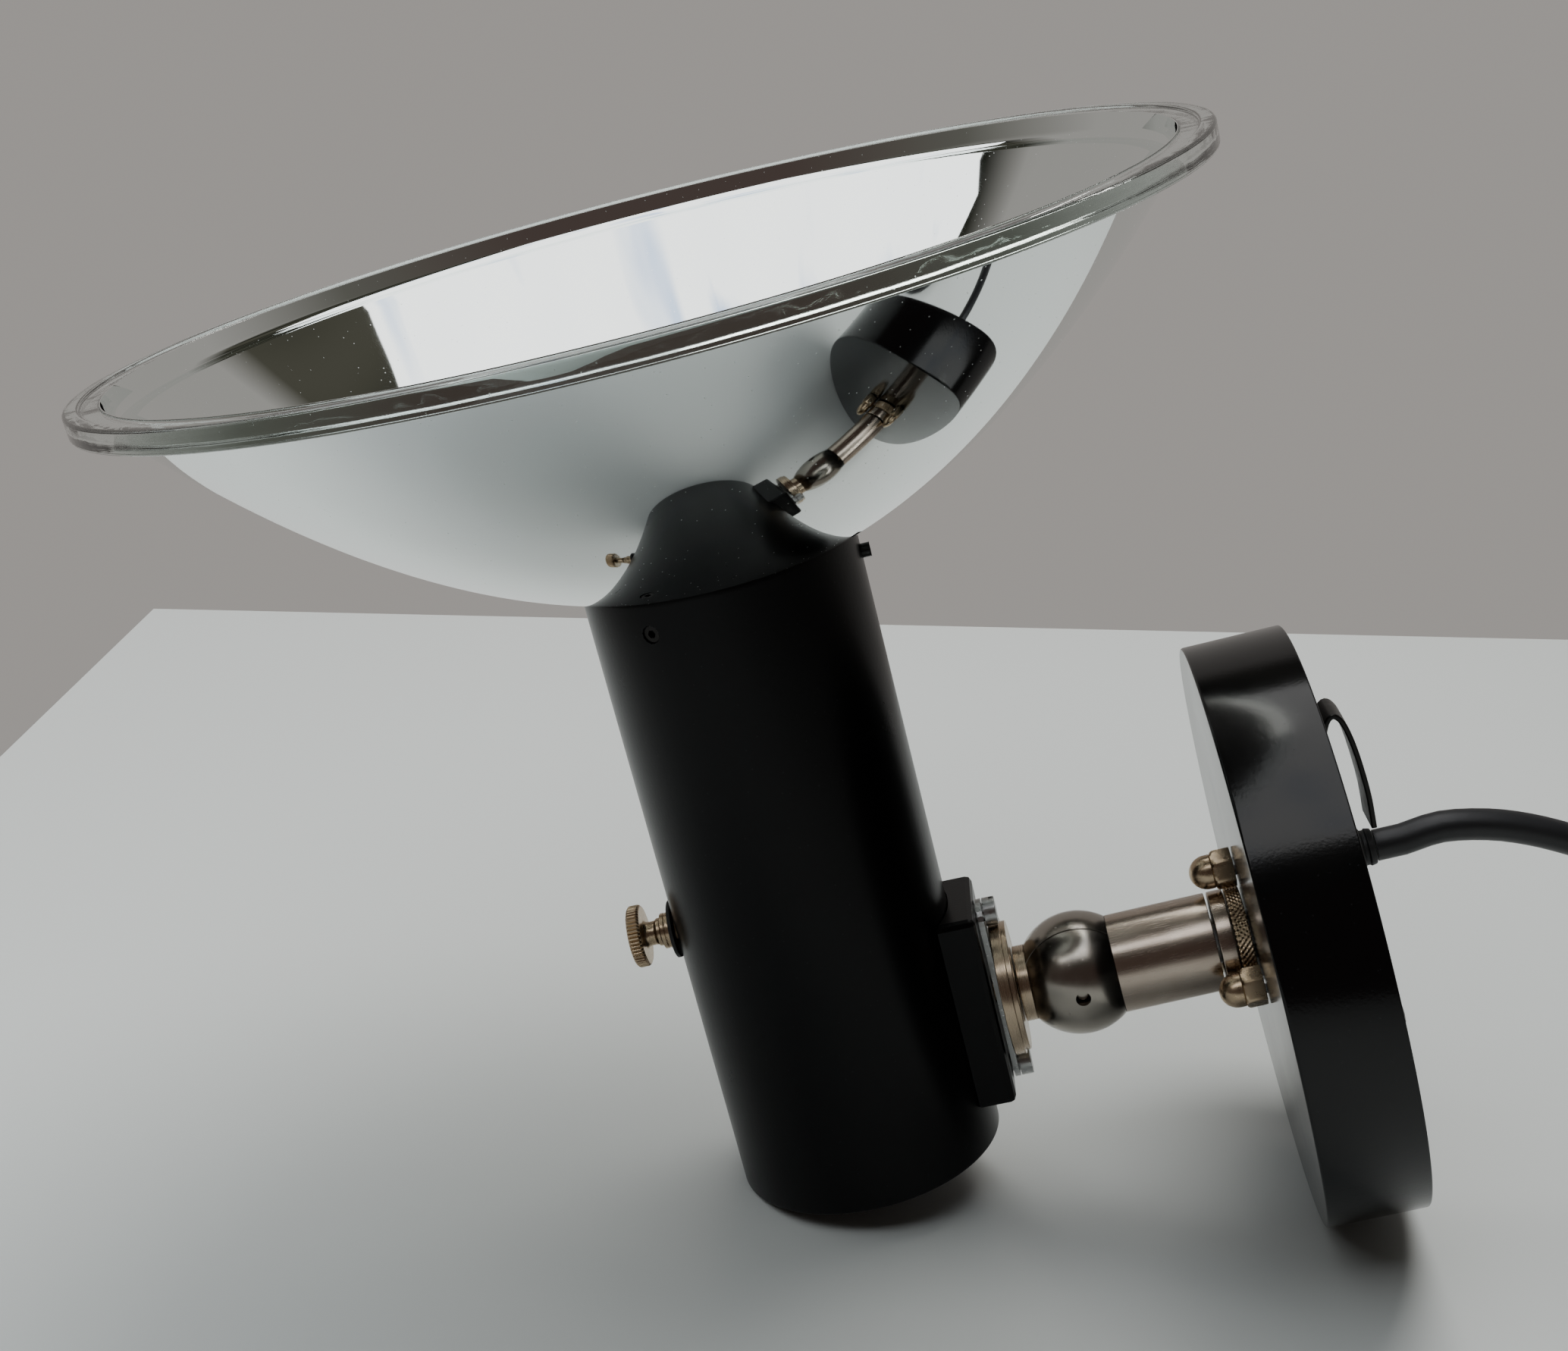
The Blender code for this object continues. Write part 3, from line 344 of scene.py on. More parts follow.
build("tube_base_cap", [surface(revolved(cap_profile, 160), TUBE, loop=False)], "head", "black_paint",
      tube_enamel, "base_cap")

# Bowl. Pressed heat-resisting glass, 236 mm across, silvered up to its rim. It widens nearly as a
# parabola, so that the bulb near its focus throws a beam.
# Silvered glass: a bright mirror with slow waves 42 mm across from the pressing, and a film and motes
# of dust that blur it a little.
silver, tree, shader, place = finish_of("vacuum_silvered_glass", "#eef3f2", 1.0, 0.02)
waves = add(tree, "ShaderNodeTexNoise", {"Scale": 24.0, "Detail": 1.0}, Vector=place)
add(tree, "ShaderNodeBump", {"Distance": 0.10 * MM}, shader.inputs["Normal"], Height=waves.outputs["Fac"])
film = add(tree, "ShaderNodeTexNoise", {"Scale": 60.0, "Detail": 6.0, "Roughness": 0.7}, Vector=place)
motes = add(tree, "ShaderNodeTexVoronoi", {"Scale": 520.0}, Vector=place)
mote = add(tree, "ShaderNodeMapRange", {"From Min": 0.09, "From Max": 0.03},
           Value=motes.outputs["Distance"])
FILM_SHARE = 0.05
smear = add(tree, "ShaderNodeMath", {"operation": "MULTIPLY_ADD"}, Value=film.outputs["Fac"])
smear.inputs[1].default_value = FILM_SHARE
tree.links.new(mote.outputs["Result"], smear.inputs[2])
add(tree, "ShaderNodeMapRange", {"To Min": 0.01, "To Max": 0.5}, shader.inputs["Roughness"],
    Value=smear.outputs["Value"])

RIM_RADIUS, RIM_TOP, RIM_BOTTOM = 0.1180, 0.2102, 0.2054
GLASS_WALL, BOWL_VERTEX, SEAT, BOWL_START = 0.0035, 0.13913, 0.1453, 0.1456
NECK_RADIUS, NECK_BORE, NECK_END = 0.0247, 0.0217, 0.1263
# The outside is a conic: its radius squared is OPENING times the rise plus FLARE times the rise squared.
OPENING, FLARE = 0.1832, 0.0216
rise = (RIM_BOTTOM - BOWL_START) * np.linspace(0.0, 1.0, 60) ** 1.6 + BOWL_START - BOWL_VERTEX
outer = np.sqrt(OPENING * rise + FLARE * rise ** 2)
slope = (OPENING + 2 * FLARE * rise) / (2 * outer)
steep = np.hypot(1.0, slope)
outer_curve = np.stack([outer, rise + BOWL_VERTEX], 1)
inner_curve = np.stack([outer - GLASS_WALL / steep, rise + BOWL_VERTEX + GLASS_WALL * slope / steep], 1)
inner_curve = inner_curve[inner_curve[:, 1] < RIM_BOTTOM + 0.0004]
SILVER_TOP, SILVER_RADIUS = RIM_TOP - 0.0003, outer[-1]
curve_top = inner_curve[-1, 1]
inner_wall = eased([inner_curve[-1], (SILVER_RADIUS - 0.0022, curve_top + 0.0003, 0.0006),
                    (SILVER_RADIUS - 0.0010, curve_top + 0.0016, 0.0006),
                    (SILVER_RADIUS - 0.0002, SILVER_TOP), (SILVER_RADIUS, SILVER_TOP)], loop=False)
neck = eased([(TUBE_RADIUS - 0.001, SEAT), (NECK_RADIUS, SEAT, 0.0004), (NECK_RADIUS, NECK_END, 0.0004),
              (NECK_BORE, NECK_END, 0.0004), (NECK_BORE, inner_curve[0, 1] - 0.002)], loop=False)
mirror_profile = np.vstack([outer_curve[::-1], neck, inner_curve[:-1], inner_wall])
build("bowl_mirror", [surface(revolved(mirror_profile, 256), TUBE)], "head", "mirror_glass", silver, "bowl")

# Rim of the bowl. The pressed rim is left uncoated outside, so it stays a clear glass ring 4.8 mm
# high round the silvered wall. Its edges are fire-polished, and a low bead runs round its top.
# Clear glass: colourless, with a slow ripple 14 mm across that bends what shows through it.
flange_glass, tree, shader, place = finish_of("clear_pressed_glass", "#f4faf8", 0.0, 0.0, IOR=1.5,
                                              Transmission_Weight=1.0)
ripple = add(tree, "ShaderNodeTexNoise", {"Scale": 70.0, "Detail": 2.0}, Vector=place)
add(tree, "ShaderNodeBump", {"Distance": 0.12 * MM}, shader.inputs["Normal"], Height=ripple.outputs["Fac"])
GLASS_INNER = SILVER_RADIUS + 0.0001
flange_profile = eased([
    (GLASS_INNER, RIM_BOTTOM), (RIM_RADIUS, RIM_BOTTOM, 0.0007), (RIM_RADIUS, RIM_TOP, 0.0008),
    (RIM_RADIUS - 0.0030, RIM_TOP, 0.0005), (RIM_RADIUS - 0.0036, RIM_TOP - 0.0005, 0.0004),
    (GLASS_INNER, RIM_TOP - 0.0005, 0.0004)])
build("bowl_rim", [surface(revolved(flange_profile, 256), TUBE)], "head", "bulb_glass", flange_glass,
      crease=60.0)

# Grub screws. Three hardened steel screws press on the sleeve round the bowl's neck. A hexagon key
# turns them in their sockets.
def mottled(name, hex_colour, metallic, noise, roughness, grain_mm=0.0, **sockets):
    """A material whose roughness wanders between two values with a noise, and whose surface rises with
    the same noise by a grain's height."""
    material, tree, shader, place = finish_of(name, hex_colour, metallic, roughness[0], **sockets)
    mottle = add(tree, "ShaderNodeTexNoise", noise, Vector=place)
    add(tree, "ShaderNodeMapRange", {"To Min": roughness[0], "To Max": roughness[1]},
        shader.inputs["Roughness"], Value=mottle.outputs["Fac"])
    if grain_mm:
        add(tree, "ShaderNodeBump", {"Distance": grain_mm * MM}, shader.inputs["Normal"],
            Height=mottle.outputs["Fac"])
    return material


# Oil-blackened steel: a dark grey metal, duller and shinier in specks of 1.7 mm.
blackened = mottled("oil_blackened_steel", "#2b2a29", 0.85, {"Scale": 600.0, "Detail": 4.0}, (0.24, 0.46))
GRUB_ENDS = (0.0296, 0.0319, 0.0296)
GRUB_RADIUS, GRUB_TIP, SOCKET_HALF, SOCKET_DEPTH = 0.00155, 0.0276, 0.0008, 0.0012
# The socket's floor and edge are drawn as a circle of radius 1, which the hexagon then scales to size.
for number, (azimuth, outer_end) in enumerate(zip(GRUB_AZIMUTHS, GRUB_ENDS), start=1):
    radial = TUBE @ np.array(Matrix.Translation((0.0, 0.0, GRUB_HEIGHT)) @ Matrix.Rotation(azimuth, 4, "Z")
                             @ Matrix.Rotation(np.pi / 2, 4, "Y"))
    angles = np.pi / 36 * np.arange(72)
    socket = SOCKET_HALF / np.cos((angles + np.pi / 6) % (np.pi / 3) - np.pi / 6)
    grub_grid = revolved(eased([
        (0.0, outer_end - SOCKET_DEPTH), (1.0, outer_end - SOCKET_DEPTH), (1.0, outer_end),
        (GRUB_RADIUS, outer_end, 0.0002), (GRUB_RADIUS, GRUB_TIP), (0.0, GRUB_TIP)], loop=False), 72)
    hexed = np.hypot(grub_grid[..., 0], grub_grid[..., 1]) > 0.5
    grub_grid[..., :2] *= np.where(hexed, socket[:, None], 1.0)[..., None]
    build(f"socket_grub_screw_{number}", [surface(grub_grid, radial, loop=False)], "head", "black_steel",
          blackened, f"grub_screw_{number}")

# Clamp screw. A turned brass thumb screw, nickel plated, that holds the lamp carrier. Its head has a
# straight knurl of 48 teeth, and it runs in a grooved bush on a soft washer.
# Aged nickel: the plating has gone warm, with tarnish in cells of 4 mm.
aged, tree, shader, place = finish_of("aged_nickel_on_brass", "#b8a489", 1.0, 0.3)
tarnish = add(tree, "ShaderNodeTexNoise", {"Scale": 260.0, "Detail": 6.0, "Roughness": 0.65}, Vector=place)
add(tree, "ShaderNodeMapRange", {"To Min": 0.16, "To Max": 0.40}, shader.inputs["Roughness"],
    Value=tarnish.outputs["Fac"])
add(tree, "ShaderNodeMix", {"data_type": "RGBA", "A": linear("#a48d70"), "B": linear("#d2bfa4")},
    shader.inputs["Base Color"], Factor=tarnish.outputs["Fac"])


def lathe(name, corners, matrix, body, slot, material, *nodes, steps=96, loop=True):
    """A piece turned about a frame's Z axis from a profile of (radius, height, rounding) corners."""
    grid = revolved(eased(corners, loop), steps)
    return build(name, [surface(grid, matrix, loop)], body, slot, material, *nodes)


# Moulded rubber: dull black with the mould's fine grain, 0.6 mm across.
moulded_rubber = mottled("moulded_black_rubber", "#191a1b", 0.0, {"Scale": 1600.0, "Detail": 3.0},
                         (0.45, 0.65), grain_mm=0.02, IOR=1.52)
TEETH, TOOTH = 48, 0.00046
KNOB_RADIUS, KNOB_FACE = 0.0070, 0.0065
knob_profile = eased([
    (0.0, 0.0403), (0.0044, 0.0403, 0.0001), (0.0046, 0.0405, 0.0001), (KNOB_FACE, 0.0405, 0.0003),
    (KNOB_RADIUS, 0.0400, 0.0002), (KNOB_RADIUS, 0.0380, 0.0002), (KNOB_FACE, 0.0375, 0.0003),
    (0.00315, 0.0375, 0.0003),
    (0.0027, 0.0368, 0.0004), (0.0027, 0.0350, 0.0004), (0.00315, 0.0345, 0.0002), (0.00315, 0.0338),
    (0.0020, 0.0338), (0.0020, 0.0274), (0.0, 0.0274)], loop=False)
knob_grid = revolved(knob_profile, TEETH * 8)
groove = np.abs(np.sin(np.arange(TEETH * 8) * np.pi / 8))[:, None]
bite = np.clip((np.hypot(knob_grid[..., 0], knob_grid[..., 1]) - KNOB_FACE) / 0.0004, 0.0, 1.0)
knob_grid[..., :2] *= (1 - bite * TOOTH / KNOB_RADIUS * (1 - groove))[..., None]
build("knurled_clamp_screw", [surface(knob_grid, CLAMP, loop=False)], "clamp_screw", "warm_nickel", aged,
      "clamp_screw")
lathe("clamp_fibre_washer", [
    (0.0034, 0.0303), (0.0065, 0.0303, 0.0002), (0.0065, 0.0312, 0.0002), (0.0034, 0.0312)],
    CLAMP, "head", "rubber", moulded_rubber, "clamp_washer")
lathe("clamp_grooved_bush", [
    (0.0040, 0.0335, 0.0002), (0.0040, 0.0326, 0.0001), (0.0036, 0.0326), (0.0036, 0.0323),
    (0.0040, 0.0323, 0.0001), (0.0040, 0.0315), (0.0031, 0.0315), (0.0031, 0.0278), (0.0023, 0.0278),
    (0.0023, 0.0335, 0.0001)], CLAMP, "head", "warm_nickel", aged, "clamp_bush")

# Bulb and holder. A clear halogen lamp with a coiled tungsten filament stands in a steatite holder
# on an aluminium carrier, which slides in the tube to set the beam.
# Bulb glass: drawn clear tube, with a faint waviness 8 mm across.
bulb_glass, tree, shader, place = finish_of("clear_bulb_glass", "#fbfdfd", 0.0, 0.0, IOR=1.47,
                                            Transmission_Weight=1.0)
draw = add(tree, "ShaderNodeTexNoise", {"Scale": 120.0, "Detail": 1.0}, Vector=place)
add(tree, "ShaderNodeBump", {"Distance": 0.02 * MM}, shader.inputs["Normal"], Height=draw.outputs["Fac"])
lathe("halogen_bulb", [
    (0.0, 0.1870), (0.0060, 0.1868, 0.0030), (0.0110, 0.1815, 0.0050), (0.0110, 0.1290, 0.0060),
    (0.0075, 0.1180, 0.0040), (0.0070, 0.1123), (0.0062, 0.1123), (0.0067, 0.1182, 0.0040),
    (0.0102, 0.1292, 0.0060), (0.0102, 0.1810, 0.0048), (0.0056, 0.1859, 0.0026), (0.0, 0.1861)],
    TUBE, "lamp_carrier", "bulb_glass", bulb_glass, "bulb", loop=False)
# Tungsten: drawn wire, grey and half dull, with drawing marks of 0.25 mm.
tungsten = mottled("drawn_tungsten_wire", "#8c8c90", 1.0, {"Scale": 4000.0, "Detail": 2.0}, (0.25, 0.5))
FILAMENT_TURNS, FILAMENT_POINTS, FILAMENT_RADIUS = 11, 221, 0.0012
filament_angle = np.linspace(0.0, 2 * np.pi * FILAMENT_TURNS, FILAMENT_POINTS)
filament = np.vstack([
    [(-0.0030, 0.0, 0.1125), (-0.0030, 0.0, 0.1450), (FILAMENT_RADIUS, 0.0, 0.1470)],
    np.stack([FILAMENT_RADIUS * np.cos(filament_angle), FILAMENT_RADIUS * np.sin(filament_angle),
              np.linspace(0.1475, 0.1625, FILAMENT_POINTS)], 1),
    [(FILAMENT_RADIUS, 0.0, 0.1632), (0.0034, 0.0, 0.1620), (0.0034, 0.0, 0.1125)]])
filament_wire = tube_along("tungsten_filament", placed(filament, TUBE), 0.00022)
filament_wire.data.bevel_resolution = 1
filament_wire.data.materials.append(tungsten)
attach(filament_wire, "lamp_carrier")
# Brass: drawn and bare, with a light patina in cells of 3 mm.
brass = mottled("drawn_brass", "#c9a25a", 1.0, {"Scale": 300.0, "Detail": 5.0}, (0.18, 0.38))
lathe("bulb_brass_base", [
    (0.0, 0.1120), (0.0060, 0.1120, 0.0004), (0.0068, 0.1060, 0.0003), (0.0068, 0.0860, 0.0008),
    (0.0030, 0.0820, 0.0006), (0.0, 0.0820)], TUBE, "lamp_carrier", "brass", brass, "bulb_base", loop=False)
# Steatite: fired off-white ceramic with a fine open grain, 1.1 mm across.
steatite = mottled("fired_steatite", "#e6e0d3", 0.0, {"Scale": 900.0, "Detail": 4.0},
                   (0.38, 0.6), grain_mm=0.05, IOR=1.6)
frame["nodes"]["lampholder"].data.materials[0] = steatite
# Turned aluminium: fine rings from the tool, 0.25 mm apart along the tube.
turned_aluminium, tree, shader, place = finish_of("turned_aluminium", "#c6c8ca", 1.0, 0.32)
rings = add(tree, "ShaderNodeTexNoise", {"Scale": 1.0, "Detail": 2.0},
            Vector=in_sizes(tree, place, TUBE, (20.0, 20.0, 0.25)))
add(tree, "ShaderNodeMapRange", {"To Min": 0.22, "To Max": 0.45}, shader.inputs["Roughness"],
    Value=rings.outputs["Fac"])
frame["nodes"]["lamp_carrier"].data.materials[0] = turned_aluminium

# Bracket. A painted steel block is hollowed to sit on the tube. A zinc-plated bridge and two slotted
# cheese-head screws clamp it, and the knuckle's turned disc bears on the bridge.
frame["nodes"]["bracket_block"].data.materials[0] = tube_enamel
# Zinc plate: a grey metal whose crystals, 1.1 mm across, differ in shine.
zinc, tree, shader, place = finish_of("zinc_plated_steel", "#b4b5b4", 1.0, 0.3)
crystals = add(tree, "ShaderNodeTexVoronoi", {"Scale": 900.0}, Vector=place)
add(tree, "ShaderNodeMapRange", {"To Min": 0.22, "To Max": 0.42}, shader.inputs["Roughness"],
    Value=crystals.outputs["Distance"])
for name in ("bridge_plate", "holder_screw_1", "holder_screw_2", "centre_nipple", "nipple_nut",
             "nut_stud_1", "nut_stud_2", "nut_stud_3", "cover_pillar_1", "cover_pillar_2", "cover_pillar_3"):
    frame["nodes"][name].data.materials[0] = zinc
BALL_HEIGHT, SCREW_OFFSET = 0.0318, 0.0189
SLOT_HALF, SLOT_DEPTH, SLOT_SNAP, SLOT_EDGE = 0.00045, 0.0011, 0.00007, 0.00002
SCREW_TOP, HEAD_RADIUS, SHANK_RADIUS, TOP_RINGS = 0.0402, 0.0032, 0.0020, 28
for name, height in (("bracket_screw_upper", BALL_HEIGHT + SCREW_OFFSET),
                     ("bracket_screw_lower", BALL_HEIGHT - SCREW_OFFSET)):
    along = TUBE @ np.array(Matrix.Translation((0.0, 0.0, height)) @ Matrix.Rotation(np.pi / 2, 4, "Y"))
    head_profile = np.vstack([
        np.stack([np.linspace(0.0, 0.0027, TOP_RINGS), np.full(TOP_RINGS, SCREW_TOP)], 1),
        eased([(0.0030, SCREW_TOP), (HEAD_RADIUS, SCREW_TOP, 0.0004), (HEAD_RADIUS, 0.0375, 0.0001),
               (SHANK_RADIUS, 0.0375), (SHANK_RADIUS, 0.0280), (0.0, 0.0280)], loop=False)])
    screw_grid = revolved(head_profile, 288)
    # The slot runs along local X: points of the top within its half width sink to its floor, and the
    # points nearest to its edges are moved onto them.
    across = screw_grid[..., 1]
    on_top = screw_grid[..., 2] > SCREW_TOP - 0.0005
    in_slot = on_top & (np.abs(across) < SLOT_HALF)
    beside = on_top & (np.abs(np.abs(across) - SLOT_HALF) < SLOT_SNAP)
    wall = np.sign(across) * np.where(in_slot, SLOT_HALF - SLOT_EDGE, SLOT_HALF + SLOT_EDGE)
    screw_grid[..., 1] = np.where(beside, wall, across)
    screw_grid[..., 2] = np.where(in_slot, screw_grid[..., 2] - SLOT_DEPTH, screw_grid[..., 2])
    build(f"slotted_{name}", [surface(screw_grid, along, loop=False)], "head", "zinc", zinc, name)

# Knuckle. Two halves of a steel ball, ground and polished, turn on a pin through their flat faces.
# One half stands on the neck that bolts to the bracket, and the other sits in the arm's cupped end.
# Brushed nickel: strokes 7 mm long and 0.2 mm wide along the arm, with faint stains of 6 mm.
nickel, tree, shader, place = finish_of("brushed_nickel_plate", "#b9a999", 1.0, 0.26)
strokes = add(tree, "ShaderNodeTexNoise", {"Scale": 1.0, "Detail": 5.0, "Roughness": 0.6},
              Vector=in_sizes(tree, place, ARM, (0.22, 0.22, 7.0)))
add(tree, "ShaderNodeMapRange", {"To Min": 0.16, "To Max": 0.34}, shader.inputs["Roughness"],
    Value=strokes.outputs["Fac"])
add(tree, "ShaderNodeBump", {"Distance": 0.002 * MM}, shader.inputs["Normal"], Height=strokes.outputs["Fac"])
stained = add(tree, "ShaderNodeTexNoise", {"Scale": 180.0, "Detail": 4.0}, Vector=place)
add(tree, "ShaderNodeMix", {"data_type": "RGBA", "A": linear("#b2a294"), "B": linear("#c4b8ab")},
    shader.inputs["Base Color"], Factor=stained.outputs["Fac"])
# Turned nickel: the tool's marks, 0.18 mm apart, show through the plating.
turned_nickel, tree, shader, place = finish_of("turned_nickel_plate", "#bba992", 1.0, 0.24)
tool_marks = add(tree, "ShaderNodeTexNoise", {"Scale": 1.0, "Detail": 3.0},
                 Vector=in_sizes(tree, place, TUBE, (0.18, 12.0, 12.0)))
add(tree, "ShaderNodeMapRange", {"To Min": 0.16, "To Max": 0.36}, shader.inputs["Roughness"],
    Value=tool_marks.outputs["Fac"])
add(tree, "ShaderNodeBump", {"Distance": 0.004 * MM}, shader.inputs["Normal"],
    Height=tool_marks.outputs["Fac"])
# Ground steel: a dark polish with smears of grease and fine scratches, 3 mm across.
ground_steel = mottled("ground_bearing_steel", "#a39d94", 1.0,
                       {"Scale": 320.0, "Detail": 6.0, "Roughness": 0.7}, (0.10, 0.36))

ACROSS = TUBE @ np.array(Matrix.Translation((0.0, 0.0, BALL_HEIGHT)) @ Matrix.Rotation(np.pi / 2, 4, "Y"))
PIN = np.eye(4)
PIN[:3, :3] = ((1.0, 0.0, 0.0), (0.0, 0.0, 1.0), (0.0, -1.0, 0.0))
PIN[:3, 3] = ball_centre
lathe("knuckle_neck_disc", [
    (0.0033, 0.0375), (0.0154, 0.0375, 0.0003), (0.0154, 0.0400, 0.0002), (0.0146, 0.0400, 0.0001),
    (0.0146, 0.0412, 0.0003), (0.0033, 0.0412)],
    ACROSS, "head", "nickel", turned_nickel, "neck_disc", steps=160)
BALL_RADIUS, BALL_OFFSET, SPLIT, HALF_GAP = 0.01375, 0.055, -0.005, 0.00015


def ball_arc(low, high, count=44):
    """Points (R cos a, R sin a) on the ball's outline, for angles a between two heights on its axis."""
    lift = np.linspace(np.arcsin(low / BALL_RADIUS), np.arcsin(high / BALL_RADIUS), count)
    return np.stack([BALL_RADIUS * np.cos(lift), BALL_RADIUS * np.sin(lift)], 1)


PIN_BORE = 0.00165
bore_mouth = np.sqrt(BALL_RADIUS ** 2 - PIN_BORE ** 2)
near_profile = np.vstack([ball_arc(-bore_mouth, SPLIT - HALF_GAP), [(PIN_BORE, SPLIT - HALF_GAP)]])
build("knuckle_half_on_arm", [surface(revolved(near_profile, 160), PIN)], "arm", "knuckle_steel",
      ground_steel, "knuckle_arm_half")
RECESS, RECESS_FLOOR = 0.0035, 0.0097
recess_top = np.sqrt(BALL_RADIUS ** 2 - RECESS ** 2)
far_profile = np.vstack([
    ball_arc(SPLIT + HALF_GAP, recess_top),
    [(RECESS, RECESS_FLOOR), (PIN_BORE, RECESS_FLOOR), (PIN_BORE, SPLIT + HALF_GAP)]])
build("knuckle_half_on_head", [surface(revolved(far_profile, 160), PIN)], "head", "knuckle_steel",
      ground_steel, "knuckle_head_half")
CUP, STEM_RADIUS, NECK_FLANGE = BALL_RADIUS + 0.0001, 0.0030, 0.0085
stem_angles = np.linspace(np.arcsin(STEM_RADIUS / CUP), np.arcsin(NECK_FLANGE / CUP), 16)
stem_arc = np.stack([CUP * np.sin(stem_angles), BALL_OFFSET - CUP * np.cos(stem_angles)], 1)
flange = eased([(0.0080, 0.0415), (NECK_FLANGE, 0.0415, 0.0003), (NECK_FLANGE, 0.0425)], loop=False)
neck_profile = np.vstack([[(0.0019, 0.0440), (0.0019, 0.0312), (STEM_RADIUS, 0.0312), (STEM_RADIUS, 0.0415)],
                          flange[:-1], stem_arc[::-1]])
build("knuckle_neck", [surface(revolved(neck_profile, 128), ACROSS)], "head", "nickel", turned_nickel)
lathe("knuckle_pivot_pin", [
    (0.0, 0.0126), (0.0032, 0.0126, 0.0006), (0.0032, 0.0100), (0.00135, 0.0100), (0.00135, -0.0115, 0.0003),
    (0.0, -0.0115)], PIN, "head", "knuckle_steel", ground_steel, "knuckle_pin", loop=False)

# Arm. Nickel-plated brass tube 22 mm across, brushed lengthwise and cupped to the ball, with a plain
# collar behind it. The whole arm turns on the nipple in the wall plate.
ARM_RADIUS, ARM_BORE, ARM_END = 0.0110, 0.0098, 0.0308
cup_angles = np.linspace(np.arcsin(ARM_RADIUS / CUP), np.arcsin(ARM_BORE / CUP), 8)
arm_profile = np.vstack([
    np.stack([CUP * np.sin(cup_angles), CUP * np.cos(cup_angles)], 1),
    [(ARM_BORE, ARM_END)],
    eased([(ARM_BORE + 0.0002, ARM_END), (ARM_RADIUS, ARM_END, 0.0002), (ARM_RADIUS, 0.0200)], loop=False)])
build("brushed_arm_tube", [surface(revolved(arm_profile, 192), ARM)], "arm", "nickel", nickel, "arm_tube")
NIPPLE_HOLE = 0.0053
lathe("arm_plain_collar", [
    (NIPPLE_HOLE, 0.0314), (ARM_RADIUS, 0.0314, 0.0003), (ARM_RADIUS, 0.0349, 0.0003), (NIPPLE_HOLE, 0.0349)],
    ARM, "arm", "nickel", nickel, "arm_collar", steps=160)

# Lock ring. A thin brass ring nut, nickel plated, with a diamond knurl of 1.25 mm pitch. Tightened
# against the plate, it keeps the arm from turning.
LOCK_RADIUS, LOCK_LOW, LOCK_HIGH = 0.0111, 0.0352, 0.0385
DIAMONDS, PER_DIAMOND, KNURL_DEPTH, PITCH = 56, 10, 0.00042, 0.00125
LOCK_EDGE, LOCK_ROWS = 0.0107, 26
lock_heights = np.linspace(LOCK_HIGH - 0.0003, LOCK_LOW + 0.0003, LOCK_ROWS)
lock_profile = np.vstack([
    [(NIPPLE_HOLE, LOCK_LOW), (NIPPLE_HOLE, LOCK_HIGH), (LOCK_EDGE, LOCK_HIGH)],
    np.stack([np.full(LOCK_ROWS, LOCK_RADIUS), lock_heights], 1), [(LOCK_EDGE, LOCK_LOW)]])
# Two saw-tooth waves climb round the ring in opposite ways, and their sum leaves diamonds.
lock_grid = revolved(lock_profile, DIAMONDS * PER_DIAMOND)
turn_count = DIAMONDS * np.arange(DIAMONDS * PER_DIAMOND)[:, None] / (DIAMONDS * PER_DIAMOND)
climb = lock_grid[..., 2] / PITCH
hollow = sum(np.abs(((turn_count + way * climb) % 1.0) - 0.5) for way in (-1, 1))
knurled = np.hypot(lock_grid[..., 0], lock_grid[..., 1]) > LOCK_RADIUS - 0.00001
cut = np.where(knurled, 1 - KNURL_DEPTH * hollow / LOCK_RADIUS, 1.0)
lock_grid[..., :2] *= cut[..., None]
build("diamond_knurled_lock_ring", [surface(lock_grid, ARM)], "lock_ring", "warm_nickel", aged,
      "lock_ring", crease=25.0)

# Acorn nuts. Three domed nuts, 7.8 mm across their flats, hold the arm's flange to the wall plate.
# They are turned from hexagon brass bar, chamfered and nickel plated.
NUT_CIRCLE, NUT_SEAT, NUT_APOTHEM, NUT_TWIST = 0.0157, 0.03855, 0.0039, np.radians(18.0)
NUT_STEPS, DOME_RADIUS, DOME_RISE = 96, 0.0038, 0.0040
# Each row of the flank is a share of the hexagon at a height below the seat, cut off at a radius that
# leaves the corners chamfered towards the dome.
hexagon_turn = 2 * np.pi * np.arange(NUT_STEPS) / NUT_STEPS
hexagon = NUT_APOTHEM / np.cos((hexagon_turn + np.pi / 6) % (np.pi / 3) - np.pi / 6)
flank_share, flank_height, chamfer = np.array([
    (0.0, 0.0, 1.0), (0.98, 0.0, 1.0), (1.0, -0.0002, 1.0), (1.0, -0.0038, 1.0),
    (1.0, -0.0042, 0.00425), (1.0, -0.0045, 0.00395)]).T
flank = np.minimum(flank_share * hexagon[:, None], chamfer)
dome_lift = np.linspace(0.0, np.pi / 2, 20)
dome_radius = np.concatenate([[0.00365, DOME_RADIUS], DOME_RADIUS * np.cos(dome_lift)])
dome_height = np.concatenate([[-0.0045, -0.0048], -0.0058 - DOME_RISE * np.sin(dome_lift)])
nut_radius = np.hstack([flank, np.broadcast_to(dome_radius, (NUT_STEPS, len(dome_radius)))])
nut_height = NUT_SEAT + np.concatenate([flank_height, dome_height])
nut_grid = np.stack([nut_radius * np.cos(hexagon_turn)[:, None],
                     nut_radius * np.sin(hexagon_turn)[:, None], nut_height + 0 * nut_radius], -1)
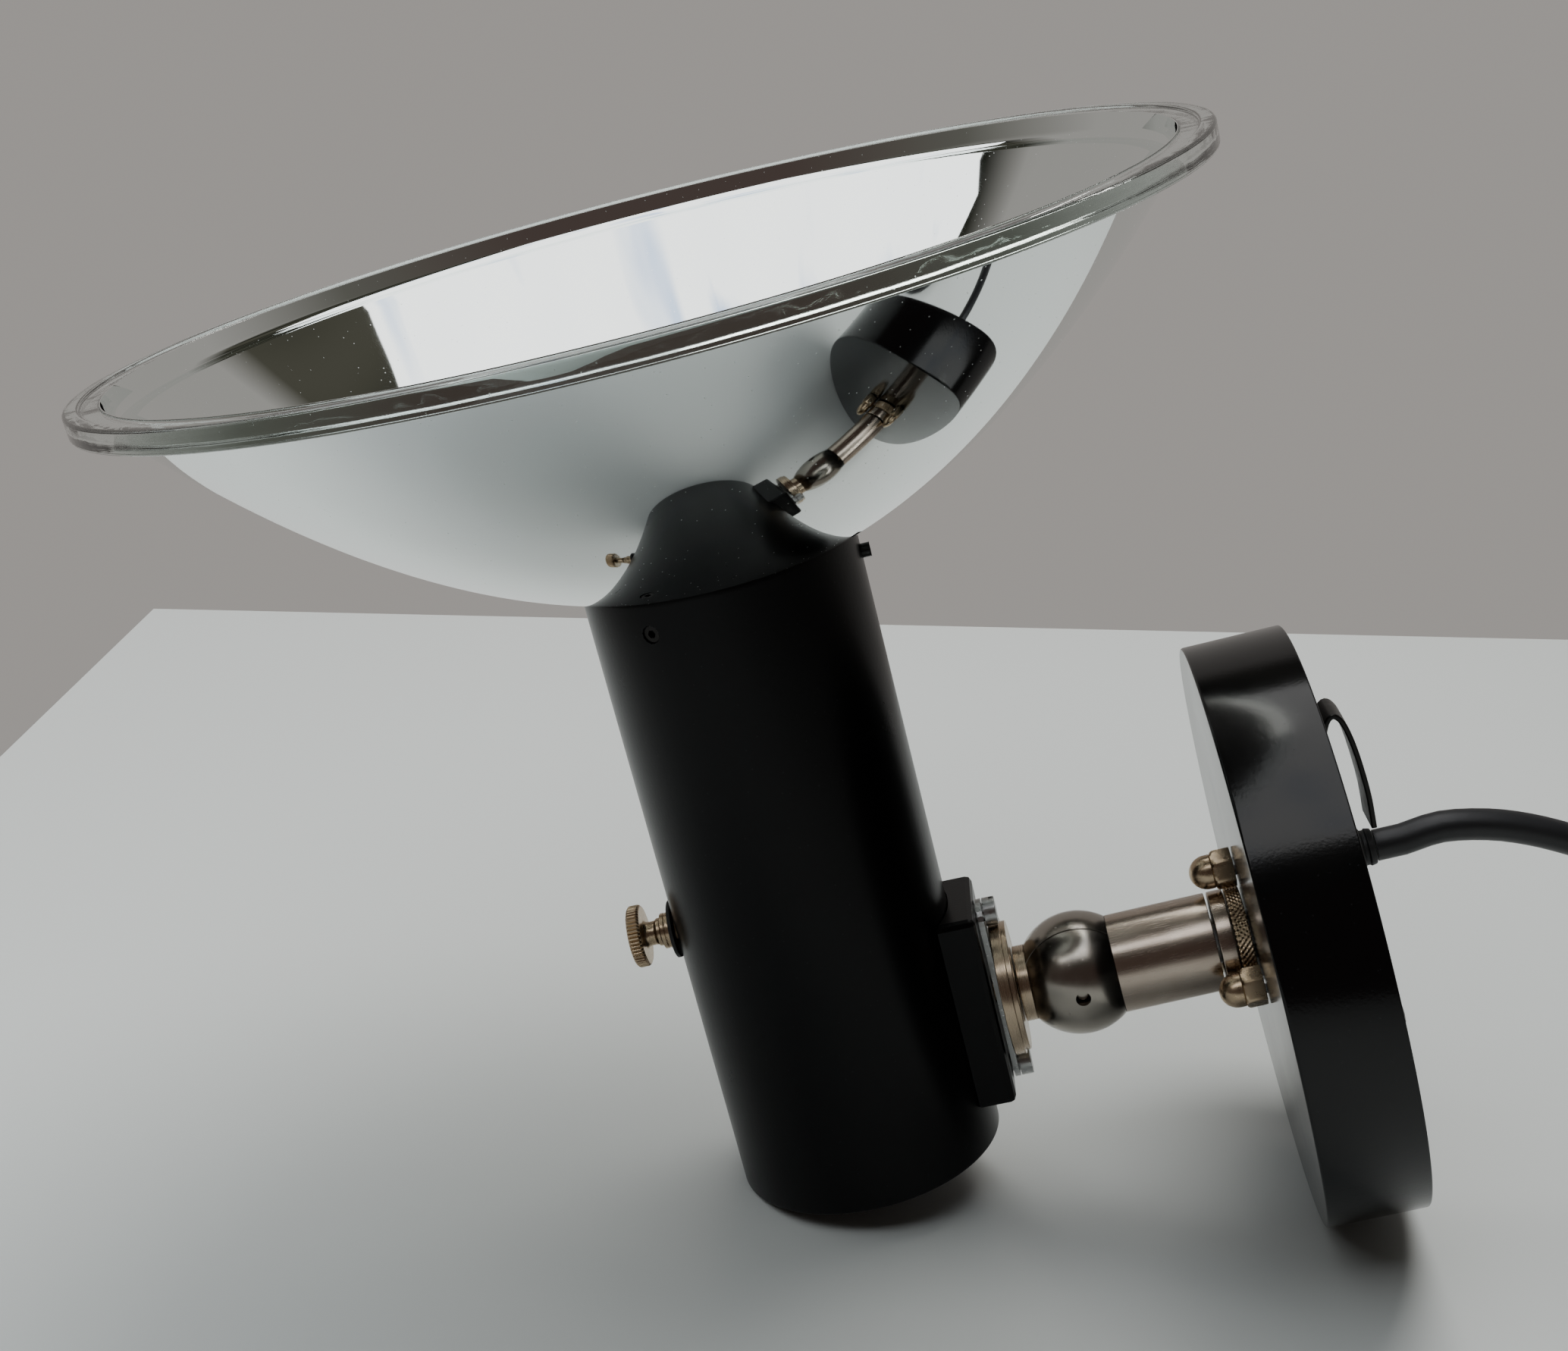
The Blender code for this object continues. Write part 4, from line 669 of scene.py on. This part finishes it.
for number, azimuth in enumerate(np.radians((-10.0, 110.0, 230.0)), start=1):
    nut_place = (-NUT_CIRCLE * np.cos(azimuth), -NUT_CIRCLE * np.sin(azimuth), 0.0)
    at_nut = ARM @ np.array(Matrix.Translation(nut_place) @ Matrix.Rotation(NUT_TWIST, 4, "Z"))
    build(f"domed_acorn_nut_{number}", [surface(nut_grid, at_nut, loop=False)], "wall_base", "warm_nickel",
          aged, f"acorn_nut_{number}", crease=25.0)

# Wall plate. A spun steel dish, 130 mm across and 22 mm deep, enamelled black, with a sharp front
# edge. A flat cover closes its back, held by three slotted screws on pillars.
plate_enamel = black_enamel("semi_gloss_black_enamel", 0.11, 0.20, 0.30)
PLATE_RADIUS, PLATE_WALL, PLATE_FRONT, PLATE_BACK = 0.0650, 0.002, 0.03885, 0.06085
COVER_RADIUS, COVER_FRONT, COVER_BACK = 0.0627, 0.05905, 0.06055
lathe("spun_wall_plate", [
    (NIPPLE_HOLE, PLATE_FRONT), (PLATE_RADIUS, PLATE_FRONT, 0.0007), (PLATE_RADIUS, PLATE_BACK, 0.0004),
    (PLATE_RADIUS - PLATE_WALL, PLATE_BACK, 0.0004),
    (PLATE_RADIUS - PLATE_WALL, PLATE_FRONT + PLATE_WALL, 0.0008), (NIPPLE_HOLE, PLATE_FRONT + PLATE_WALL)],
    ARM, "wall_base", "black_paint", plate_enamel, "wall_plate", steps=288)
lathe("flat_back_cover", [
    (0.0, COVER_FRONT), (COVER_RADIUS, COVER_FRONT, 0.0003), (COVER_RADIUS, COVER_BACK, 0.0004),
    (0.0, COVER_BACK)], ARM, "wall_base", "black_paint", plate_enamel, "back_cover", steps=192, loop=False)
for name in ("cover_screw_1", "cover_screw_2", "cover_screw_3"):
    frame["nodes"][name].data.materials[0] = zinc

# Hanger hook. A strip of blackened spring steel, 11 mm wide, riveted to the cover and bent over into
# a narrow loop that drops onto a wall screw.
HOOK_ROUTE = ((0.0009, 0.0220), (0.0009, 0.0290), (0.0010, 0.0360), (0.0018, 0.0425), (0.0032, 0.0465),
              (0.0048, 0.0476), (0.0063, 0.0460), (0.0074, 0.0420), (0.0082, 0.0360), (0.0087, 0.0280),
              (0.0085, 0.0205))
HOOK_HALF_WIDTH, HOOK_HALF_THICK = 0.0055, 0.0006
hook_line = catmull([(-above, 0.0, PLATE_BACK + behind) for behind, above in HOOK_ROUTE], 0.0006)
forward = np.gradient(hook_line, axis=0)
forward /= np.linalg.norm(forward, axis=1, keepdims=True)
normal = np.cross(forward, (0.0, 1.0, 0.0))
strip_section = eased([(side * HOOK_HALF_WIDTH, face * HOOK_HALF_THICK, 0.0004)
                       for side, face in ((1, 1), (-1, 1), (-1, -1), (1, -1))])
# Every point is the strip's centre line, plus its section's width along Y and its thickness along the
# normal.
hook_grid = (hook_line[None] + strip_section[:, 0][:, None, None] * np.array((0.0, 1.0, 0.0))
             + strip_section[:, 1][:, None, None] * normal[None])
hook_ends = np.broadcast_to(hook_line[[0, -1]], (len(strip_section), 2, 3))
hook_grid = np.concatenate([hook_ends[:, :1], hook_grid, hook_ends[:, 1:]], axis=1)
build("sprung_hanger_hook", [surface(hook_grid, ARM, loop=False)], "wall_base", "black_steel", blackened,
      "hanger_hook")
for name in ("hook_rivet_1", "hook_rivet_2"):
    frame["nodes"][name].data.materials[0] = blackened

# Strain relief. A moulded rubber sleeve with three grooves, which grips the cord where it leaves the
# back cover and tapers down to the cord.
RELIEF = ARM @ np.array(Matrix.Translation((CORD_OFFSET, 0.0, 0.0)))
relief = lathe("tapered_strain_relief", [
    (0.0, 0.0485), (0.0046, 0.0485, 0.0004), (0.0066, 0.0566, 0.0003), (0.0066, 0.05875, 0.0002),
    (0.0047, 0.05875), (0.0047, 0.0608), (0.0056, 0.06095, 0.0002), (0.0053, 0.0620, 0.0002),
    (0.0045, 0.0622, 0.0002), (0.0045, 0.0630, 0.0002), (0.0051, 0.0632, 0.0002), (0.0049, 0.0642, 0.0002),
    (0.0042, 0.0644, 0.0002), (0.0042, 0.0652, 0.0002), (0.0046, 0.0654, 0.0002), (0.0044, 0.0664, 0.0002),
    (0.0039, 0.0666, 0.0002), (0.0039, 0.0674, 0.0002), (0.0042, 0.0676, 0.0002), (0.0039, 0.0690, 0.0004),
    (0.0, 0.0690)], RELIEF, "wall_base", "rubber", moulded_rubber, "strain_relief", loop=False)
frame["nodes"]["neck_sleeve"].data.materials[0] = moulded_rubber

# Leads and terminal block. Three black leads carry the current from a screw terminal block in the wall
# plate through the arm to the lamp. All of them lie inside, so only their materials are set here.
# Moulded PVC: black, a little shinier than the rubber, with the spark-eroded mould's 0.9 mm grain.
pvc = mottled("moulded_black_pvc", "#17181a", 0.0, {"Scale": 1100.0, "Detail": 3.0},
              (0.34, 0.5), grain_mm=0.025, IOR=1.53)
for name in ("inner_lead", "arm_lead", "head_lead"):
    frame["nodes"][name].data.materials[0] = pvc
# Moulded polyamide: white and silky, with flow marks of 2 mm.
polyamide = mottled("moulded_white_polyamide", "#e4e3dd", 0.0, {"Scale": 500.0, "Detail": 3.0},
                    (0.36, 0.55), IOR=1.53)
frame["nodes"]["terminal_block"].data.materials[0] = polyamide

# Plug. A flat two-pin mains plug moulded on in black plastic. Its sides are waisted for the fingers,
# its boot is ribbed, and its brass pins are thicker over their first half.
plug_low, plug_high = (np.array(corner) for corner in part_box("plug"))
plug_middle, plug_end, boot_start = (plug_low[0] + plug_high[0]) / 2, plug_low[1], plug_high[1]
BODY_LENGTH, PLUG_HALF_WIDTH, PLUG_HALF_HEIGHT, PLUG_CENTRE = 0.0360, 0.0170, 0.0068, 0.0069
PLUG_STEPS, END_ROUNDING, SQUARENESS = 96, 0.14, 0.45
# Along the body its ends are rounded as part of an ellipse, and its sides draw in as a bell curve.
share = np.concatenate([[0.0, 0.012, 0.04, 0.09], np.linspace(0.14, 0.86, 30), [0.91, 0.96, 0.988, 1.0]])
beyond = np.maximum(np.abs(2 * share - 1) - (1 - END_ROUNDING), 0.0) / END_ROUNDING
rounding = np.sqrt(np.clip(1 - beyond ** 2, 0.0, 1.0))
waist = 1 - 0.09 * np.exp(-((share - 0.62) / 0.16) ** 2)
half_width = PLUG_HALF_WIDTH * (0.82 + 0.18 * rounding) * waist
half_height = PLUG_HALF_HEIGHT * (0.78 + 0.22 * rounding)
turning = 2 * np.pi * np.arange(PLUG_STEPS)[:, None] / PLUG_STEPS


def squared(value):
    """A cosine or sine pushed outwards by a power below one, which squares the circle's corners."""
    return np.sign(value) * np.abs(value) ** SQUARENESS


plug_grid = np.stack([plug_middle + squared(np.cos(turning)) * half_width,
                      plug_end + share * BODY_LENGTH + 0 * turning,
                      PLUG_CENTRE + squared(np.sin(turning)) * half_height], -1)
plug_ends = np.array([(plug_middle, plug_end + ahead, PLUG_CENTRE) for ahead in (0.0, BODY_LENGTH)])
plug_ends = np.broadcast_to(plug_ends, (PLUG_STEPS, 2, 3))
plug_grid = np.concatenate([plug_ends[:, :1], plug_grid, plug_ends[:, 1:]], axis=1)
RIBS, RIB_PITCH, BOOT_CENTRE, BOOT_LENGTH = 5, 0.0040, 0.0063, 0.0238
ribs = [(0.0, 0.0), (0.0035, 0.0, 0.0003)]
for rib in range(RIBS):
    start = 0.0030 + RIB_PITCH * rib
    wide = 0.0038 + 0.00042 * rib
    ribs += [(wide, start, 0.0003), (wide - 0.0007, start + 0.0004, 0.0002),
             (wide - 0.0006, start + 0.0012, 0.0002), (wide + 0.0002, start + 0.0016, 0.0003)]
ribs += [(0.0060, BOOT_LENGTH), (0.0, BOOT_LENGTH)]
BOOT = np.eye(4)
BOOT[:3, :3] = ((1.0, 0.0, 0.0), (0.0, 0.0, -1.0), (0.0, 1.0, 0.0))
BOOT[:3, 3] = (plug_middle, boot_start, BOOT_CENTRE)
plug_body = build("moulded_plug", [surface(plug_grid, np.eye(4), loop=False),
                                   surface(revolved(eased(ribs, loop=False), 64), BOOT, loop=False)],
                  "wall_base", "black_pvc", pvc, "plug")
SLEEVED_RADIUS, BARE_RADIUS, PIN_LENGTH = 0.0020, 0.00185, 0.0190
for number in (1, 2):
    pin_low, pin_high = (np.array(corner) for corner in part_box(f"plug_pin_{number}"))
    at_pin = BOOT.copy()
    at_pin[:3, 3] = ((pin_low[0] + pin_high[0]) / 2, pin_high[1], PLUG_CENTRE)
    lathe(f"round_plug_pin_{number}", [
        (0.0, 0.0), (SLEEVED_RADIUS, 0.0), (SLEEVED_RADIUS, 0.0095, 0.0001), (BARE_RADIUS, 0.0096, 0.0001),
        (BARE_RADIUS, 0.0180, 0.0006), (0.0010, PIN_LENGTH, 0.0005), (0.0, PIN_LENGTH)],
        at_pin, "wall_base", "brass", brass, f"plug_pin_{number}", steps=48, loop=False)

# Table. A white laminate table top, 20 mm thick, on which the lamp lies. Its far edge shows behind
# the lamp, and its left edge runs away from the viewer.
# Laminate: pale and slightly glossy, with a faint haze of wiping marks 11 cm across.
laminate = mottled("white_laminate", "#c2c8c8", 0.0, {"Scale": 9.0, "Detail": 0.0}, (0.27, 0.31), IOR=1.5)
TABLE_LEFT, TABLE_RIGHT, TABLE_NEAR, TABLE_FAR, TABLE_THICK = -0.275, 1.30, -1.20, 0.425, 0.020
table_mesh = bpy.data.meshes.new("table_top")
corners = [(x, y, z) for z in (-TABLE_THICK, 0.0) for y in (TABLE_NEAR, TABLE_FAR)
           for x in (TABLE_LEFT, TABLE_RIGHT)]
sides = [(0, 2, 3, 1), (4, 5, 7, 6), (0, 1, 5, 4), (2, 6, 7, 3), (0, 4, 6, 2), (1, 3, 7, 5)]
table_mesh.from_pydata(corners, [], sides)
table_mesh.materials.append(laminate)
table = bpy.data.objects.new("table_top", table_mesh)
bpy.context.scene.collection.objects.link(table)

# Room. Grey walls, darker at the back, with dark beams under the ceiling that show in the mirror. The
# ceiling starts lower on the left: where the height less 0.19 of the way right passes 0.62.
room = bpy.data.worlds.new("grey_room")
room.use_nodes = True
bpy.context.scene.world = room
tree = room.node_tree
outlook = add(tree, "ShaderNodeTexCoord").outputs["Generated"]
toward = add(tree, "ShaderNodeSeparateXYZ", Vector=outlook)
near_to_far = add(tree, "ShaderNodeMapRange", {"From Min": -1.0, "From Max": 1.0}, Value=toward.outputs["Y"])
walls = add(tree, "ShaderNodeValToRGB", Fac=near_to_far.outputs["Result"])
stops = walls.color_ramp.elements
stops[0].position, stops[0].color = 0.10, linear("#4a3f3b")
stops[1].position, stops[1].color = 0.78, linear("#9f9b97")
middle_stop = stops.new(0.42)
middle_stop.color = linear("#5d5b55")
CEILING_LEAN = -0.19
leaning = add(tree, "ShaderNodeMath", {"operation": "MULTIPLY_ADD"}, Value=toward.outputs["X"])
leaning.inputs[1].default_value = CEILING_LEAN
tree.links.new(toward.outputs["Z"], leaning.inputs[2])
ceiling = add(tree, "ShaderNodeMapRange", {"From Min": 0.57, "From Max": 0.66},
              Value=leaning.outputs["Value"])
beams = add(tree, "ShaderNodeTexWave", {"Scale": 1.6, "Distortion": 1.5}, Vector=outlook)
beam_shade = add(tree, "ShaderNodeMix", {"data_type": "RGBA", "A": linear("#20211b"), "B": linear("#4c4a41")},
                 Factor=beams.outputs["Fac"])
add(tree, "ShaderNodeMix", {"data_type": "RGBA"}, tree.nodes["Background"].inputs["Color"],
    Factor=ceiling.outputs["Result"], A=walls.outputs["Color"], B=beam_shade.outputs["Result"])


def softbox(name, place, target, width, height, power, colour):
    """A soft rectangular light at a place, facing a target."""
    light = bpy.data.lights.new(name, "AREA")
    light.shape = "RECTANGLE"
    light.size, light.size_y = width, height
    light.energy = power
    light.color = linear(colour)[:3]
    lamp = bpy.data.objects.new(name, light)
    direction = Vector(target) - Vector(place)
    lamp.matrix_world = Matrix.Translation(place) @ direction.to_track_quat("-Z", "Y").to_matrix().to_4x4()
    bpy.context.scene.collection.objects.link(lamp)
    return lamp


# The skylight shows in the bowl as a white patch with pale blue streaks. The fill is only a soft
# light on the table from above and behind, which no mirror shows.
skylight = softbox("skylight", (-0.38, -0.10, 1.12), (-0.14, -0.08, 0.0), 1.6, 1.36, 17.0, "#ffffff")
skylight.data.use_nodes = True
tree = skylight.data.node_tree
across_sky = add(tree, "ShaderNodeMapping", {"Scale": (1.2, 3.4, 1.0), "Rotation": (0.0, 0.0, 0.5)},
                 Vector=add(tree, "ShaderNodeNewGeometry").outputs["Parametric"])
clouds = add(tree, "ShaderNodeTexNoise", {"Scale": 2.0, "Detail": 3.0, "Distortion": 1.2},
             Vector=across_sky.outputs["Vector"])
streaks = add(tree, "ShaderNodeMapRange", {"From Min": 0.55, "From Max": 0.68}, Value=clouds.outputs["Fac"])
add(tree, "ShaderNodeMix", {"data_type": "RGBA", "A": linear("#ffffff"), "B": linear("#b9c8e2")},
    tree.nodes["Emission"].inputs["Color"], Factor=streaks.outputs["Result"])
fill = softbox("fill", (0.15, 0.50, 1.20), (0.0, 0.0, 0.05), 0.8, 0.8, 15.0, "#fffaf4")
fill.visible_glossy = False
